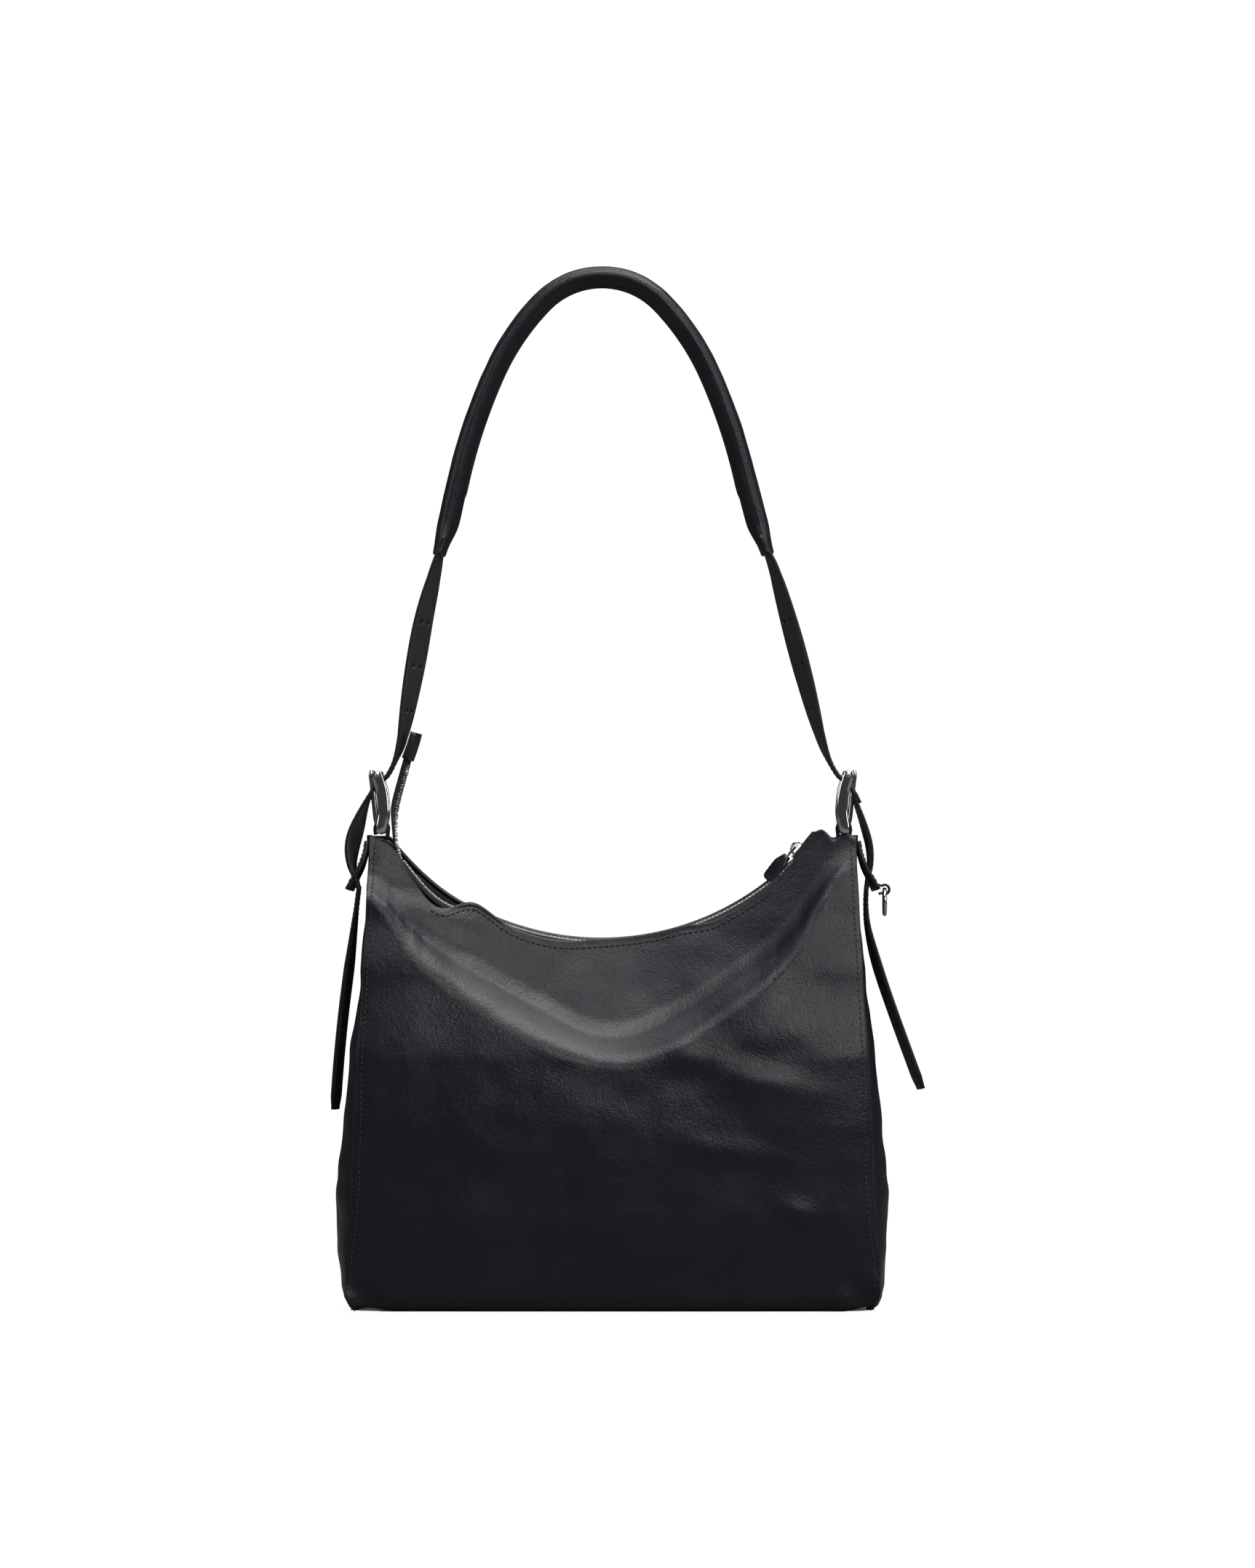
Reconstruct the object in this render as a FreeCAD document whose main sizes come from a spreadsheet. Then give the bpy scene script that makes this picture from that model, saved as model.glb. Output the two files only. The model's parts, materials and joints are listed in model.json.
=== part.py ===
import FreeCAD, Part
import math
import os
import re
import Sketcher
from FreeCAD import Placement, Rotation, Vector

# A soft leather hobo bag. Millimetres, +Z up, -Y is the front, +X the wearer's side with the ring.
# The origin lies on the floor under the middle of the base.

SIZES = (
    # the leather body
    ("wall", 1.4, "leather thickness"),
    ("mouth_x", -7.0, "the round mouth's centre lies a little to one side"),
    ("mouth_centre", 381.0, "height of the centre of the round mouth"),
    ("mouth_radius", 161.0, "radius of the mouth seen from the front"),
    ("mouth_half", 12.8, "half the depth at the mouth"),
    ("slope_radius", 231.0, "radius where the slope down from the mouth ends"),
    ("far_radius", 480.0, "radius past the lowest corners"),
    ("belly_half", 56.0, "half the greatest depth"),
    ("belly_height", 60.0, "height of the greatest depth and width"),
    ("base_half", 53.0, "half the depth of the base"),
    ("base_reach", 157.0, "half the width of the base"),
    ("belly_reach", 161.0, "half the greatest width"),
    ("chest_height", 150.0, "height where the sides of the gusset start to close"),
    ("chest_half", 54.0, "half the depth at that height"),
    ("waist_height", 200.0, "height where the front narrows"),
    ("waist_reach", 149.0, "half the width at that height"),
    ("corner_height", 281.0, "height of the two upper corners"),
    ("corner_reach", 145.5, "half the width at the corners"),
    ("corner_half", 18.0, "half the depth of a corner"),
    # inside
    ("board_thick", 2.0, "stiffening board"),
    ("board_reach", 150.0, "half the board's width"),
    ("board_half", 49.0, "half the board's depth"),
    ("lining_gap", 0.3, "space between leather and lining"),
    ("lining_thick", 0.5, "lining cloth"),
    ("lining_top", 262.0, "height where the lining ends"),
    ("lining_radius", 165.0, "radius of the lining's own mouth"),
    # zipper, about the centre of the mouth
    ("chain_radius", 162.6, "radius of the middle of the chain"),
    ("tape_thick", 0.8, "zipper tape"),
    ("tape_inner", 2.4, "distance of the tape's inner edge from the middle"),
    ("tape_outer", 10.0, "distance of the tape's outer edge from the middle"),
    ("tape_turn", 101.0, "angle that the tapes cover"),
    ("chain_shift", 2.5, "how far the chain is turned towards its closed end, in degrees"),
    ("tooth_turn", 91.0, "angle that the teeth cover"),
    ("tooth_count", 103.0, "teeth on one tape"),
    ("tooth_long", 1.0, "tooth, along the chain"),
    ("tooth_reach", 0.9, "how far a tooth passes the middle"),
    ("tooth_tall", 2.4, "tooth, across the tape"),
    ("slider_turn", 47.8, "angle of the closed slider from the bottom of the arc"),
    ("stop_turn", 51.0, "angle of the top stops"),
    ("slider_half", 4.5, "half the slider's width"),
    ("slider_reach", 6.0, "half the slider's length"),
    ("plate_thick", 1.8, "slider plate"),
    ("plate_gap", 3.8, "space between the slider's plates"),
    ("pin_radius", 0.8, "pin of the puller"),
    ("pin_height", 5.6, "the pin's distance from the middle of the chain"),
    ("link_reach", 9.0, "length of the puller's link"),
    ("link_half", 3.2, "half the link's width"),
    ("pull_long", 16.0, "leather pull tab"),
    ("pull_half", 5.6, "half the pull tab's width"),
    ("pull_thick", 2.0, "pull tab"),
    # strap
    ("strap_thick", 2.4, "strap, two leathers"),
    ("strap_wide", 25.0, "strap"),
    ("hole_radius", 1.6, "punched hole"),
    ("hole_offset", 5.2, "distance of a hole or prong from the strap's middle"),
    ("hole_pitch", 27.0, "distance from one pair of holes to the next"),
    ("first_hole", 36.0, "one pitch below the lowest pair, from the buckle's lower bar"),
    ("apex_x", -6.5, "the top of the strap lies a little to one side"),
    ("apex_z", 617.5, "height of the middle of the shoulder sleeve at its top"),
    ("crown_radius", 51.0, "first arc of the sleeve, from its top"),
    ("crown_turn", 46.0, "slope at the end of the first arc, in degrees"),
    ("shoulder_radius", 150.0, "second arc"),
    ("shoulder_turn", 66.0, "slope at the end of the second arc"),
    ("flank_radius", 340.0, "third arc"),
    ("flank_turn", 77.5, "slope at the end of the third arc"),
    ("sleeve_run", 43.0, "straight end of the sleeve"),
    ("core_run", 26.0, "straight end of the sleeve's core"),
    ("sleeve_half", 13.0, "half the sleeve's width"),
    ("sleeve_rise", 5.8, "half the sleeve's thickness"),
    ("sleeve_wall", 1.6, "sleeve leather"),
    ("core_gap", 0.2, "space round the core"),
    # buckles
    ("low_x", 138.0, "distance of the lower bar from the middle"),
    ("low_z", 286.6, "height of the lower bar"),
    ("high_x", 140.5, "distance of the upper bar from the middle"),
    ("high_z", 318.5, "height of the upper bar"),
    ("bow_x", 136.9, "distance of the rails' middle from the middle"),
    ("bow_z", 302.0, "height of the rails' middle"),
    ("bar_radius", 2.3, "buckle bar"),
    ("rail_wide", 4.6, "buckle rail, front to back"),
    ("rail_thick", 4.6, "buckle rail, side to side"),
    ("frame_half", 18.0, "half the buckle's width"),
    ("bar_gap", 0.15, "space round the lower bar"),
    ("eye_wall", 1.3, "wall of the prongs' eye"),
    ("eye_half", 6.4, "half the eye's length"),
    ("prong_thick", 2.0, "prong"),
    ("prong_wide", 2.4, "prong, front to back"),
    ("slot_wide", 3.6, "prong slot in the strap"),
    ("prong_slot_low", 299.3, "lower end of that slot"),
    ("prong_slot_high", 312.4, "upper end of that slot"),
    # leather anchors in the corners
    ("loop_wall", 1.7, "leather round the lower bar"),
    ("anchor_half", 12.6, "half the anchor's width"),
    ("anchor_thick", 3.6, "the anchor's doubled stem"),
    ("notch_half", 7.0, "half the notch for the prongs' eye"),
    ("notch_radius", 4.4, "radius of that notch"),
    # side tabs and ring
    ("tab_thick", 2.2, "side tab"),
    ("tab_half", 17.0, "half the side tab's width"),
    ("tab_slot_half", 13.6, "half the slot that the strap's end runs through"),
    ("slot_low", 253.6, "lower end of that slot"),
    ("slot_high", 265.0, "upper end of that slot"),
    ("ring_x", 162.4, "distance of the ring from the middle"),
    ("ring_z", 250.0, "height of the ring's hinge line"),
    ("ring_radius", 7.4, "ring, to the middle of its wire"),
    ("ring_wire", 1.2, "radius of the ring's wire"),
    ("ring_loop_half", 3.0, "half the width of the ring's loop"),
    ("ring_loop_hole", 2.3, "radius of the loop's hole"),
    ("ring_loop_wall", 1.4, "loop leather"),
    # zipper tail
    ("tail_thick", 2.0, "zipper tail"),
    ("tail_wide", 19.0, "zipper tail"),
    ("end_tab_thick", 3.8, "leather folded over the zipper tail"),
    ("end_tab_wide", 22.0, "end tab"),
)

doc = FreeCAD.newDocument("HoboBag")
sheet = doc.addObject("Spreadsheet::Sheet", "Sizes")
for row, (alias, value, note) in enumerate(SIZES, 1):
    sheet.set(f"A{row}", note)
    sheet.set(f"B{row}", str(value))
    sheet.setAlias(f"B{row}", alias)
doc.recompute()

ALIASES = {alias for alias, _, _ in SIZES}
CENTRE = ("mouth_x", 0.0, "mouth_centre")
BIG = 400.0
PLANES = {
    "XY": Rotation(),
    "XZ": Rotation(Vector(1, 0, 0), 90),
    "YZ": Rotation(Vector(1, 1, 1), 120),
}
pieces = []


def full(text):
    """Spell out the sheet's aliases in an expression."""
    words = re.split(r"([a-z_]+)", str(text))
    return "".join("Sizes." + word if word in ALIASES else word for word in words)


def size(text):
    """The value of an expression of aliases."""
    return float(sheet.evalExpression(full(text)))


def bind(item, **links):
    """Tie properties to the sheet; a double underscore stands for a dot."""
    for name, text in links.items():
        item.setExpression(name.replace("__", "."), full(text))
    return item


def place(item, x=0.0, y=0.0, z=0.0, turn=None):
    """Give an item its rotation, then tie its position to the sheet."""
    item.Placement = Placement(Vector(size(x), size(y), size(z)), turn or Rotation())
    bind(item, Placement__Base__x=x, Placement__Base__y=y, Placement__Base__z=z)
    return item


def piece(item, label):
    """Name an item as one of the bag's own sub-parts."""
    item.Label = label
    pieces.append(item)
    return item


# ---- sketches ----------------------------------------------------------------------------------

def sketch(plane, owner=None, offset="0"):
    """An empty sketch, free or at some distance from one of a body's own origin planes."""
    if owner is None:
        drawn = doc.addObject("Sketcher::SketchObject", "Sketch")
        drawn.Placement = Placement(Vector(), PLANES[plane])
        return drawn
    drawn = owner.newObject("Sketcher::SketchObject", "Sketch")
    role = plane + "_Plane"
    datum = next(feature for feature in owner.Origin.OriginFeatures if feature.Role == role)
    drawn.AttachmentSupport = [(datum, "")]
    drawn.MapMode = "FlatFace"
    drawn.AttachmentOffset = Placement(Vector(0, 0, size(offset)), Rotation())
    return bind(drawn, AttachmentOffset__Base__z=offset)


def pin_point(drawn, geometry, end, u, v):
    """Hold one end of a curve at a place given by two expressions."""
    for kind, text in (("DistanceX", u), ("DistanceY", v)):
        index = drawn.addConstraint(Sketcher.Constraint(kind, -1, 1, geometry, end, size(text)))
        drawn.setExpression(f"Constraints[{index}]", full(text))


def lines(drawn, corners, closed=True):
    """Straight lines from corner to corner."""
    spots = [Vector(size(u), size(v), 0) for u, v in corners]
    last = len(spots) if closed else len(spots) - 1
    first = drawn.GeometryCount
    for i in range(last):
        drawn.addGeometry(Part.LineSegment(spots[i], spots[(i + 1) % len(spots)]), False)
        pin_point(drawn, first + i, 1, *corners[i])
    for i in range(last if closed else last - 1):
        following = first + (i + 1) % last
        drawn.addConstraint(Sketcher.Constraint("Coincident", first + i, 2, following, 1))
    if not closed:
        pin_point(drawn, first + last - 1, 2, *corners[-1])
    return drawn


def rectangle(drawn, u0, u1, v0, v1):
    return lines(drawn, ((u0, v0), (u1, v0), (u1, v1), (u0, v1)))


def circle(drawn, u, v, radius):
    round_line = Part.Circle(Vector(size(u), size(v), 0), Vector(0, 0, 1), size(radius))
    index = drawn.addGeometry(round_line, False)
    pin_point(drawn, index, 3, u, v)
    limit = drawn.addConstraint(Sketcher.Constraint("Radius", index, size(radius)))
    drawn.setExpression(f"Constraints[{limit}]", full(radius))
    return drawn


# ---- solids and booleans -----------------------------------------------------------------------

def box(x, y, z):
    """A block between pairs of expressions."""
    made = doc.addObject("Part::Box", "Box")
    place(made, x[0], y[0], z[0])
    spans = [f"({high})-({low})" for low, high in (x, y, z)]
    return bind(made, Length=spans[0], Width=spans[1], Height=spans[2])


def rod(x, z, radius, half, y="0"):
    """A cylinder along Y."""
    made = doc.addObject("Part::Cylinder", "Rod")
    place(made, x, f"({y})-({half})", z, Rotation(Vector(1, 0, 0), -90))
    return bind(made, Radius=radius, Height=f"2*({half})")


def extrude(drawn, direction, length, symmetric=True):
    made = doc.addObject("Part::Extrusion", "Extrusion")
    made.Base = drawn
    made.DirMode = "Custom"
    made.Dir = Vector(*direction)
    made.Solid = True
    made.Symmetric = symmetric
    return bind(made, LengthFwd=length)


def band(side, points, thick, wide, y="0"):
    """A flat strap along a path seen from the front; its ends reach half its thickness past."""
    path = lines(sketch("XZ"), [(f"{side}*({x})", z) for x, z in points], closed=False)
    drawn = doc.addObject("Part::Offset2D", "Band")
    drawn.Source = path
    drawn.Fill = True
    drawn.Join = "Intersection"
    bind(drawn, Value=f"({thick})/2")
    made = extrude(drawn, (0, 1, 0), wide)
    place(made, 0, y, 0)
    return made


def cut(base, *tools):
    for tool in tools:
        made = doc.addObject("Part::Cut", "Cut")
        made.Base = base
        made.Tool = tool
        base = made
    return base


def join(kind, items):
    made = doc.addObject(kind, kind.split("::")[1])
    made.Shapes = list(items)
    return made


def fuse(*items):
    made = join("Part::MultiFuse", items)
    made.Refine = True
    return made


def common(*items):
    return join("Part::MultiCommon", items)


# ---- leather body ------------------------------------------------------------------------------

def envelope(inset, mouth="mouth_radius", open_top=True):
    """The outer form less an inset: a turned mouth cut by a side outline, and a front outline."""
    slant = f"mouth_half-1.19*({inset})"
    ring = sketch("YZ")
    top = f"{mouth}-20" if open_top else mouth
    right = [
        (slant, f"mouth_centre-({top})"),
        (slant, f"mouth_centre-({mouth})"),
        (f"belly_half-({inset})", f"mouth_centre-slope_radius-0.3*({inset})"),
        (f"belly_half-({inset})", "-far_radius+mouth_centre"),
    ]
    if not open_top:
        right.pop(0)
    left = [(f"-({y})", z) for y, z in reversed(right)]
    lines(ring, right + left)
    turned = doc.addObject("Part::Revolution", "Turned")
    turned.Source = ring
    turned.Axis = Vector(0, 1, 0)
    turned.Angle = 360
    turned.Solid = True
    turned.Base = Vector(size("mouth_x"), 0, size("mouth_centre"))
    bind(turned, Base__x="mouth_x", Base__z="mouth_centre")

    rise = "20" if open_top else "0"
    half = [
        (f"base_half-({inset})", inset),
        (f"belly_half-({inset})", "belly_height"),
        (f"chest_half-({inset})", "chest_height"),
        (f"corner_half-({inset})", "corner_height"),
        (f"corner_half-({inset})", f"corner_height+{rise}"),
    ]
    if not open_top:
        half.pop()
    side = lines(sketch("YZ"), half + [(f"-({y})", z) for y, z in reversed(half)])
    reach = [
        (f"base_reach-({inset})", inset),
        (f"belly_reach-({inset})", "belly_height"),
        (f"waist_reach-({inset})", "waist_height"),
        (f"corner_reach-({inset})", "corner_height"),
        (f"corner_reach-({inset})", f"corner_height+{rise}"),
    ]
    if not open_top:
        reach.pop()
    front = lines(sketch("XZ"), reach + [(f"-({x})", z) for x, z in reversed(reach)])
    form = common(turned, extrude(side, (1, 0, 0), BIG))
    return form, extrude(front, (0, 1, 0), BIG)


def leather_body():
    """Front and back panels reach the outer side; the gussets and the base lie between them."""
    outer, outline = envelope(0, open_top=False)
    inner, inner_outline = envelope("wall")
    walls = common(cut(outer, inner), outline)
    rim = common(inner, cut(outline, inner_outline))
    halves = {"front": (-BIG, 0), "back": (0, BIG)}
    for name, span in halves.items():
        piece(common(walls, box((-BIG, BIG), span, ("wall", BIG))), name + "_panel")
    sides = {"left": (-BIG, 0), "right": (0, BIG)}
    for name, span in sides.items():
        piece(common(rim, box(span, (-BIG, BIG), ("wall", BIG))), "gusset_" + name)
    piece(common(outer, outline, box((-BIG, BIG), (-BIG, BIG), (0, "wall"))), "base_panel")


def inside():
    """A stiffening board on the base, and a lining cloth that hangs just inside the leather."""
    board_z = ("wall+0.1", "wall+0.1+board_thick")
    piece(box(("-board_reach", "board_reach"), ("-board_half", "board_half"), board_z), "base_board")
    gap = "wall+lining_gap"
    back = "wall+lining_gap+lining_thick"
    outer, outer_outline = envelope(gap, "lining_radius", open_top=False)
    inner, inner_outline = envelope(back, "lining_radius")
    floor = "wall+board_thick+0.3"
    room = box((-BIG, BIG), (-BIG, BIG), (floor, "lining_top"))
    hollow = box((-BIG, BIG), (-BIG, BIG), (f"{floor}+lining_thick", BIG))
    cloth = cut(common(outer, outer_outline, room), common(inner, inner_outline, hollow))
    piece(cloth, "lining")


# ---- zipper ------------------------------------------------------------------------------------

def arc_body(label, turn="0"):
    """A body whose origin is the centre of the mouth, turned so many degrees towards +X."""
    body = piece(doc.addObject("PartDesign::Body", "Body"), label)
    place(body, *CENTRE, turn=Rotation(Vector(0, 1, 0), -size(turn)))
    return body


def pad(body, drawn, length, symmetric=True):
    made = body.newObject("PartDesign::Pad", "Pad")
    made.Profile = drawn
    made.Midplane = symmetric
    return bind(made, Length=length)


def pocket_through(body, drawn):
    made = body.newObject("PartDesign::Pocket", "Pocket")
    made.Profile = drawn
    made.Type = "ThroughAll"
    made.Midplane = True
    return made


def pattern_about_y(body, feature, turn, count):
    """Repeat a feature on the arc of the mouth."""
    made = body.newObject("PartDesign::PolarPattern", "Pattern")
    made.Originals = [feature]
    axis = next(item for item in body.Origin.OriginFeatures if item.Role == "Y_Axis")
    made.Axis = (axis, [""])
    bind(made, Angle=turn, Occurrences=count)
    body.Tip = made
    return made


def zipper_tape(label, side):
    body = arc_body(label, "chain_shift")
    low, high = (f"-chain_radius{sign}tape_thick/2" for sign in "-+")
    drawn = sketch("YZ", body)
    rectangle(drawn, f"{side}*tape_inner", f"{side}*tape_outer", low, high)
    made = body.newObject("PartDesign::Revolution", "Turned")
    made.Profile = drawn
    made.ReferenceAxis = (drawn, ["H_Axis"])
    made.Midplane = True
    bind(made, Angle="tape_turn")


def zipper_teeth(label, side):
    """Teeth of one tape; the two rows are half a pitch apart and mesh."""
    start = f"chain_shift+(tooth_turn{'+' if side < 0 else '-'}0.5*tooth_turn/(tooth_count-1))/2"
    body = arc_body(label, start)
    drawn = sketch("XZ", body, f"{-side}*tape_inner")
    low, high = (f"-chain_radius{sign}tooth_tall/2" for sign in "-+")
    rectangle(drawn, "-tooth_long/2", "tooth_long/2", low, high)
    tooth = pad(body, drawn, "tape_inner+tooth_reach", symmetric=False)
    tooth.Reversed = side < 0
    pattern_about_y(body, tooth, "tooth_turn", "tooth_count")


def on_arc(made, label, turn):
    """Carry a piece made at the lowest point of a circle about zero to its place on the arc."""
    place(made, *CENTRE, turn=Rotation(Vector(0, 1, 0), -size(turn)))
    return piece(made, label)


def zipper_stops():
    tall = ("-chain_radius-1.2", "-chain_radius+1.2")
    stops = [box(("-1.5", "1.5"), span, tall) for span in (("-2.3", "-0.2"), ("0.2", "2.3"))]
    on_arc(fuse(*stops), "zipper_top_stops", "stop_turn")


def zipper_slider():
    """Two plates and a neck round the chain, a bridge on top that holds the puller."""
    body = arc_body("slider_body", "slider_turn")
    top = "-chain_radius+plate_gap/2"
    low = "-chain_radius-plate_gap/2"
    plates = sketch("XZ", body)
    rectangle(plates, "-slider_reach", "slider_reach", f"{low}-plate_thick", low)
    rectangle(plates, "-slider_reach", "slider_reach", top, f"{top}+plate_thick")
    pad(body, plates, "2*slider_half")
    neck = rectangle(sketch("XZ", body), "slider_reach-3", "slider_reach", low, top)
    pad(body, neck, "2")
    bridge = rectangle(sketch("XZ", body), "-4", "4", f"{top}+plate_thick", "-chain_radius+pin_height+2.3")
    pad(body, bridge, "2.8")
    doc.recompute()
    hole = circle(sketch("XZ", body), "0", "-chain_radius+pin_height", "pin_radius+0.5")
    pocket_through(body, hole)


def zipper_puller():
    """A metal link on a pin through the bridge, and a leather tab that lies along the chain."""
    level = "-chain_radius+pin_height"
    thin = (f"{level}-pin_radius", f"{level}+pin_radius")
    plate = box(("-link_reach", "pin_radius"), ("-link_half", "link_half"), thin)
    window = box(("-link_reach+1.6", BIG), ("-link_half+1.2", "link_half-1.2"), (f"{level}-5", f"{level}+5"))
    link = fuse(cut(plate, window), rod("0", level, "pin_radius", "link_half"))
    on_arc(link, "puller", "slider_turn")
    body = arc_body("pull_tab", "slider_turn")
    low, high = (f"{level}{sign}pull_thick/2" for sign in "-+")
    outline = rectangle(sketch("XZ", body), "-link_reach-pull_long", "-link_reach-0.1", low, high)
    pad(body, outline, "2*pull_half")


def zipper_tail():
    """The chain's free end leaves the left corner upwards, and a folded leather tab closes it."""
    route = [(129.3, 274.2), (130.6, 279), (130.8, 291), (129.8, 301), (125.6, 316), (121.6, 329.5)]
    tail = piece(band(-1, route, "tail_thick", "tail_wide"), "zipper_tail")
    cap = band(-1, [(120.6, 330.8), (119.2, 337.0), (117.1, 344.0)], "end_tab_thick", "end_tab_wide")
    piece(cut(cap, tail), "zipper_end_tab")
    piece(box((-122.9, -121.3), (-3, 3), (318.5, 321.5)), "zipper_bottom_stop")


# ---- strap -------------------------------------------------------------------------------------

def sleeve_path(body, run):
    """Half of the sleeve's middle line, from its top: three arcs, each flatter, and a straight run."""
    drawn = sketch("XZ", body)
    x, z, before = "0", "0", "0"
    for index, name in enumerate(("crown", "shoulder", "flank")):
        radius, turn = f"{name}_radius", f"{name}_turn"
        centre = Vector(
            size(f"{x}-{radius}*sin({before}*1deg)"), size(f"{z}-{radius}*cos({before}*1deg)"), 0
        )
        circle_line = Part.Circle(centre, Vector(0, 0, 1), size(radius))
        high, low = (math.radians(90 - size(angle)) for angle in (before, turn))
        drawn.addGeometry(Part.ArcOfCircle(circle_line, low, high), False)
        pin_point(drawn, index, 2, x, z)
        x = f"{x}+{radius}*(sin({turn}*1deg)-sin({before}*1deg))"
        z = f"{z}-{radius}*(cos({before}*1deg)-cos({turn}*1deg))"
        pin_point(drawn, index, 1, x, z)
        bent = drawn.addConstraint(Sketcher.Constraint("Radius", index, size(radius)))
        drawn.setExpression(f"Constraints[{bent}]", full(radius))
        before = turn
    end = (f"{x}+({run})*cos(flank_turn*1deg)", f"{z}-({run})*sin(flank_turn*1deg)")
    low = Vector(size(end[0]), size(end[1]), 0)
    drawn.addGeometry(Part.LineSegment(Vector(size(x), size(z), 0), low), False)
    pin_point(drawn, 3, 1, x, z)
    pin_point(drawn, 3, 2, *end)
    return drawn


def oval(drawn, half_wide, half_thick):
    """An ellipse about the sketch's origin, long along the first axis."""
    shape = Part.Ellipse(Vector(), size(half_wide), size(half_thick))
    index = drawn.addGeometry(shape, False)
    drawn.exposeInternalGeometry(index)
    drawn.addConstraint(Sketcher.Constraint("Coincident", index, 3, -1, 1))
    drawn.addConstraint(Sketcher.Constraint("PointOnObject", index + 1, 1, -1))
    for line, text in ((index + 1, half_wide), (index + 2, half_thick)):
        limit = drawn.addConstraint(Sketcher.Constraint("Distance", line, 2 * size(text)))
        drawn.setExpression(f"Constraints[{limit}]", full(f"2*({text})"))


def sleeve_part(label, run, outer, inner=None):
    """A rounded strap part swept down from its top, then mirrored."""
    body = piece(doc.addObject("PartDesign::Body", "Body"), label)
    path = sleeve_path(body, run)
    section = sketch("YZ", body)
    oval(section, *outer)
    if inner:
        oval(section, *inner)
    swept = body.newObject("PartDesign::AdditivePipe", "Pipe")
    swept.Profile = section
    swept.Spine = (path, [f"Edge{number}" for number in range(1, 5)])
    doc.recompute()
    mirror = body.newObject("PartDesign::Mirrored", "Mirror")
    mirror.Originals = [swept]
    plane = next(item for item in body.Origin.OriginFeatures if item.Role == "YZ_Plane")
    mirror.MirrorPlane = (plane, [""])
    body.Tip = mirror
    place(body, "apex_x", 0, "apex_z")


def shoulder_sleeve():
    outer = ("sleeve_half", "sleeve_rise")
    inner = ("sleeve_half-sleeve_wall", "sleeve_rise-sleeve_wall")
    core = tuple(f"{text}-core_gap" for text in inner)
    sleeve_part("shoulder_sleeve", "sleeve_run", outer, inner)
    sleeve_part("sleeve_core", "core_run", core)


def strap_end(label, side, tongue, top):
    """From the sleeve down, in through the buckle under its upper bar, to the outer side."""
    knee = (124, 336)
    through = [(129.5, 325.5), (135.2, 316.5), (140.5, 313.6), (145.5, 305), (148.6, 298.5)]
    main = band(side, [top, knee] + through, "strap_thick", "strap_wide")
    skived = band(side, [tongue, top, knee], "strap_thick", 16)
    slots = []
    for y in (-1, 1):
        span = (f"{y}*hole_offset-slot_wide/2", f"{y}*hole_offset+slot_wide/2")
        slots.append(box((-BIG, BIG), span, ("prong_slot_low", "prong_slot_high")))
    holes = []
    for row in (1, 2, 3):
        for y in (-1, 1):
            hole = doc.addObject("Part::Cylinder", "Hole")
            lift = f"low_z+{row}*hole_pitch+first_hole"
            place(hole, f"{side}*160", f"{y}*hole_offset", lift, Rotation(Vector(0, 1, 0), -90 * side))
            bind(hole, Radius="hole_radius", Height="100")
            holes.append(hole)
    piece(cut(fuse(main, skived), *slots, *holes), label)


def buckle(side, hand):
    """A bowed frame with two rails and two bars, and two prongs on a common eye."""
    bow = [("low_x", "low_z"), ("bow_x", "bow_z"), ("high_x", "high_z")]
    half = "(frame_half-rail_wide/2)"
    rails = [band(side, bow, "rail_thick", "rail_wide", f"{y}*{half}") for y in (-1, 1)]
    bars = [rod(f"{side}*{x}", z, "bar_radius", half) for x, z in (bow[0], bow[-1])]
    piece(fuse(*rails, *bars), "buckle_frame_" + hand)
    bore = "bar_radius+bar_gap"
    eye = cut(rod(f"{side}*low_x", "low_z", f"{bore}+eye_wall", "eye_half"),
              rod(f"{side}*low_x", "low_z", bore, "eye_half+1"))
    route = [("low_x+3.7", "low_z+2.4"), (143.9, 303), (144.9, 320.2)]
    shanks = [band(side, route, "prong_thick", "prong_wide", f"{y}*hole_offset") for y in (-1, 1)]
    piece(fuse(eye, *shanks), "double_prong_" + hand)


def anchor_loop(label, side):
    """Leather folded round the lower bar; its doubled stem goes down into the corner and ends round."""
    bar = (f"{side}*low_x", "low_z")
    stem_x = (f"{side}*low_x-anchor_thick/2", f"{side}*low_x+anchor_thick/2")
    stem = box(stem_x, ("-anchor_half", "anchor_half"), ("corner_height", "low_z-bar_radius"))
    round_end = doc.addObject("Part::Cylinder", "Round")
    place(round_end, stem_x[0], 0, "corner_height", Rotation(Vector(0, 1, 0), 90))
    bind(round_end, Radius="anchor_half", Height="anchor_thick", Angle="360")
    low = box(stem_x, ("-anchor_half", "anchor_half"), ("corner_height-anchor_half", "corner_height"))
    wrap = rod(*bar, "bar_radius+bar_gap+loop_wall", "anchor_half")
    hole = rod(*bar, "bar_radius+bar_gap", "anchor_half+1")
    notch = rod(*bar, "notch_radius", "notch_half")
    piece(cut(fuse(wrap, stem, common(round_end, low)), hole, notch), label)


def strap_slack(label, side):
    """The strap's free end bows out over the corner and back in through the side tab."""
    route = [(153.0, 290), (156.5, 277), (156.0, 263), (151.6, 252)]
    piece(band(side, route, "strap_thick", "strap_wide"), label)


def strap_tail(label, side, route):
    piece(band(side, route, "strap_thick", "strap_wide"), label)


# ---- side tabs and ring ------------------------------------------------------------------------

def side_tab(label, side):
    """A leather tab sewn to the gusset's top, with a slot that the strap's end runs through."""
    tab = band(side, [(147.0, 276.5), (148.3, 272), (158.0, 250.5)], "tab_thick", "2*tab_half")
    side_of_bag = (0, BIG) if side > 0 else (-BIG, 0)
    slot = box(side_of_bag, ("-tab_slot_half", "tab_slot_half"), ("slot_low", "slot_high"))
    return piece(cut(tab, slot), label)


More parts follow.
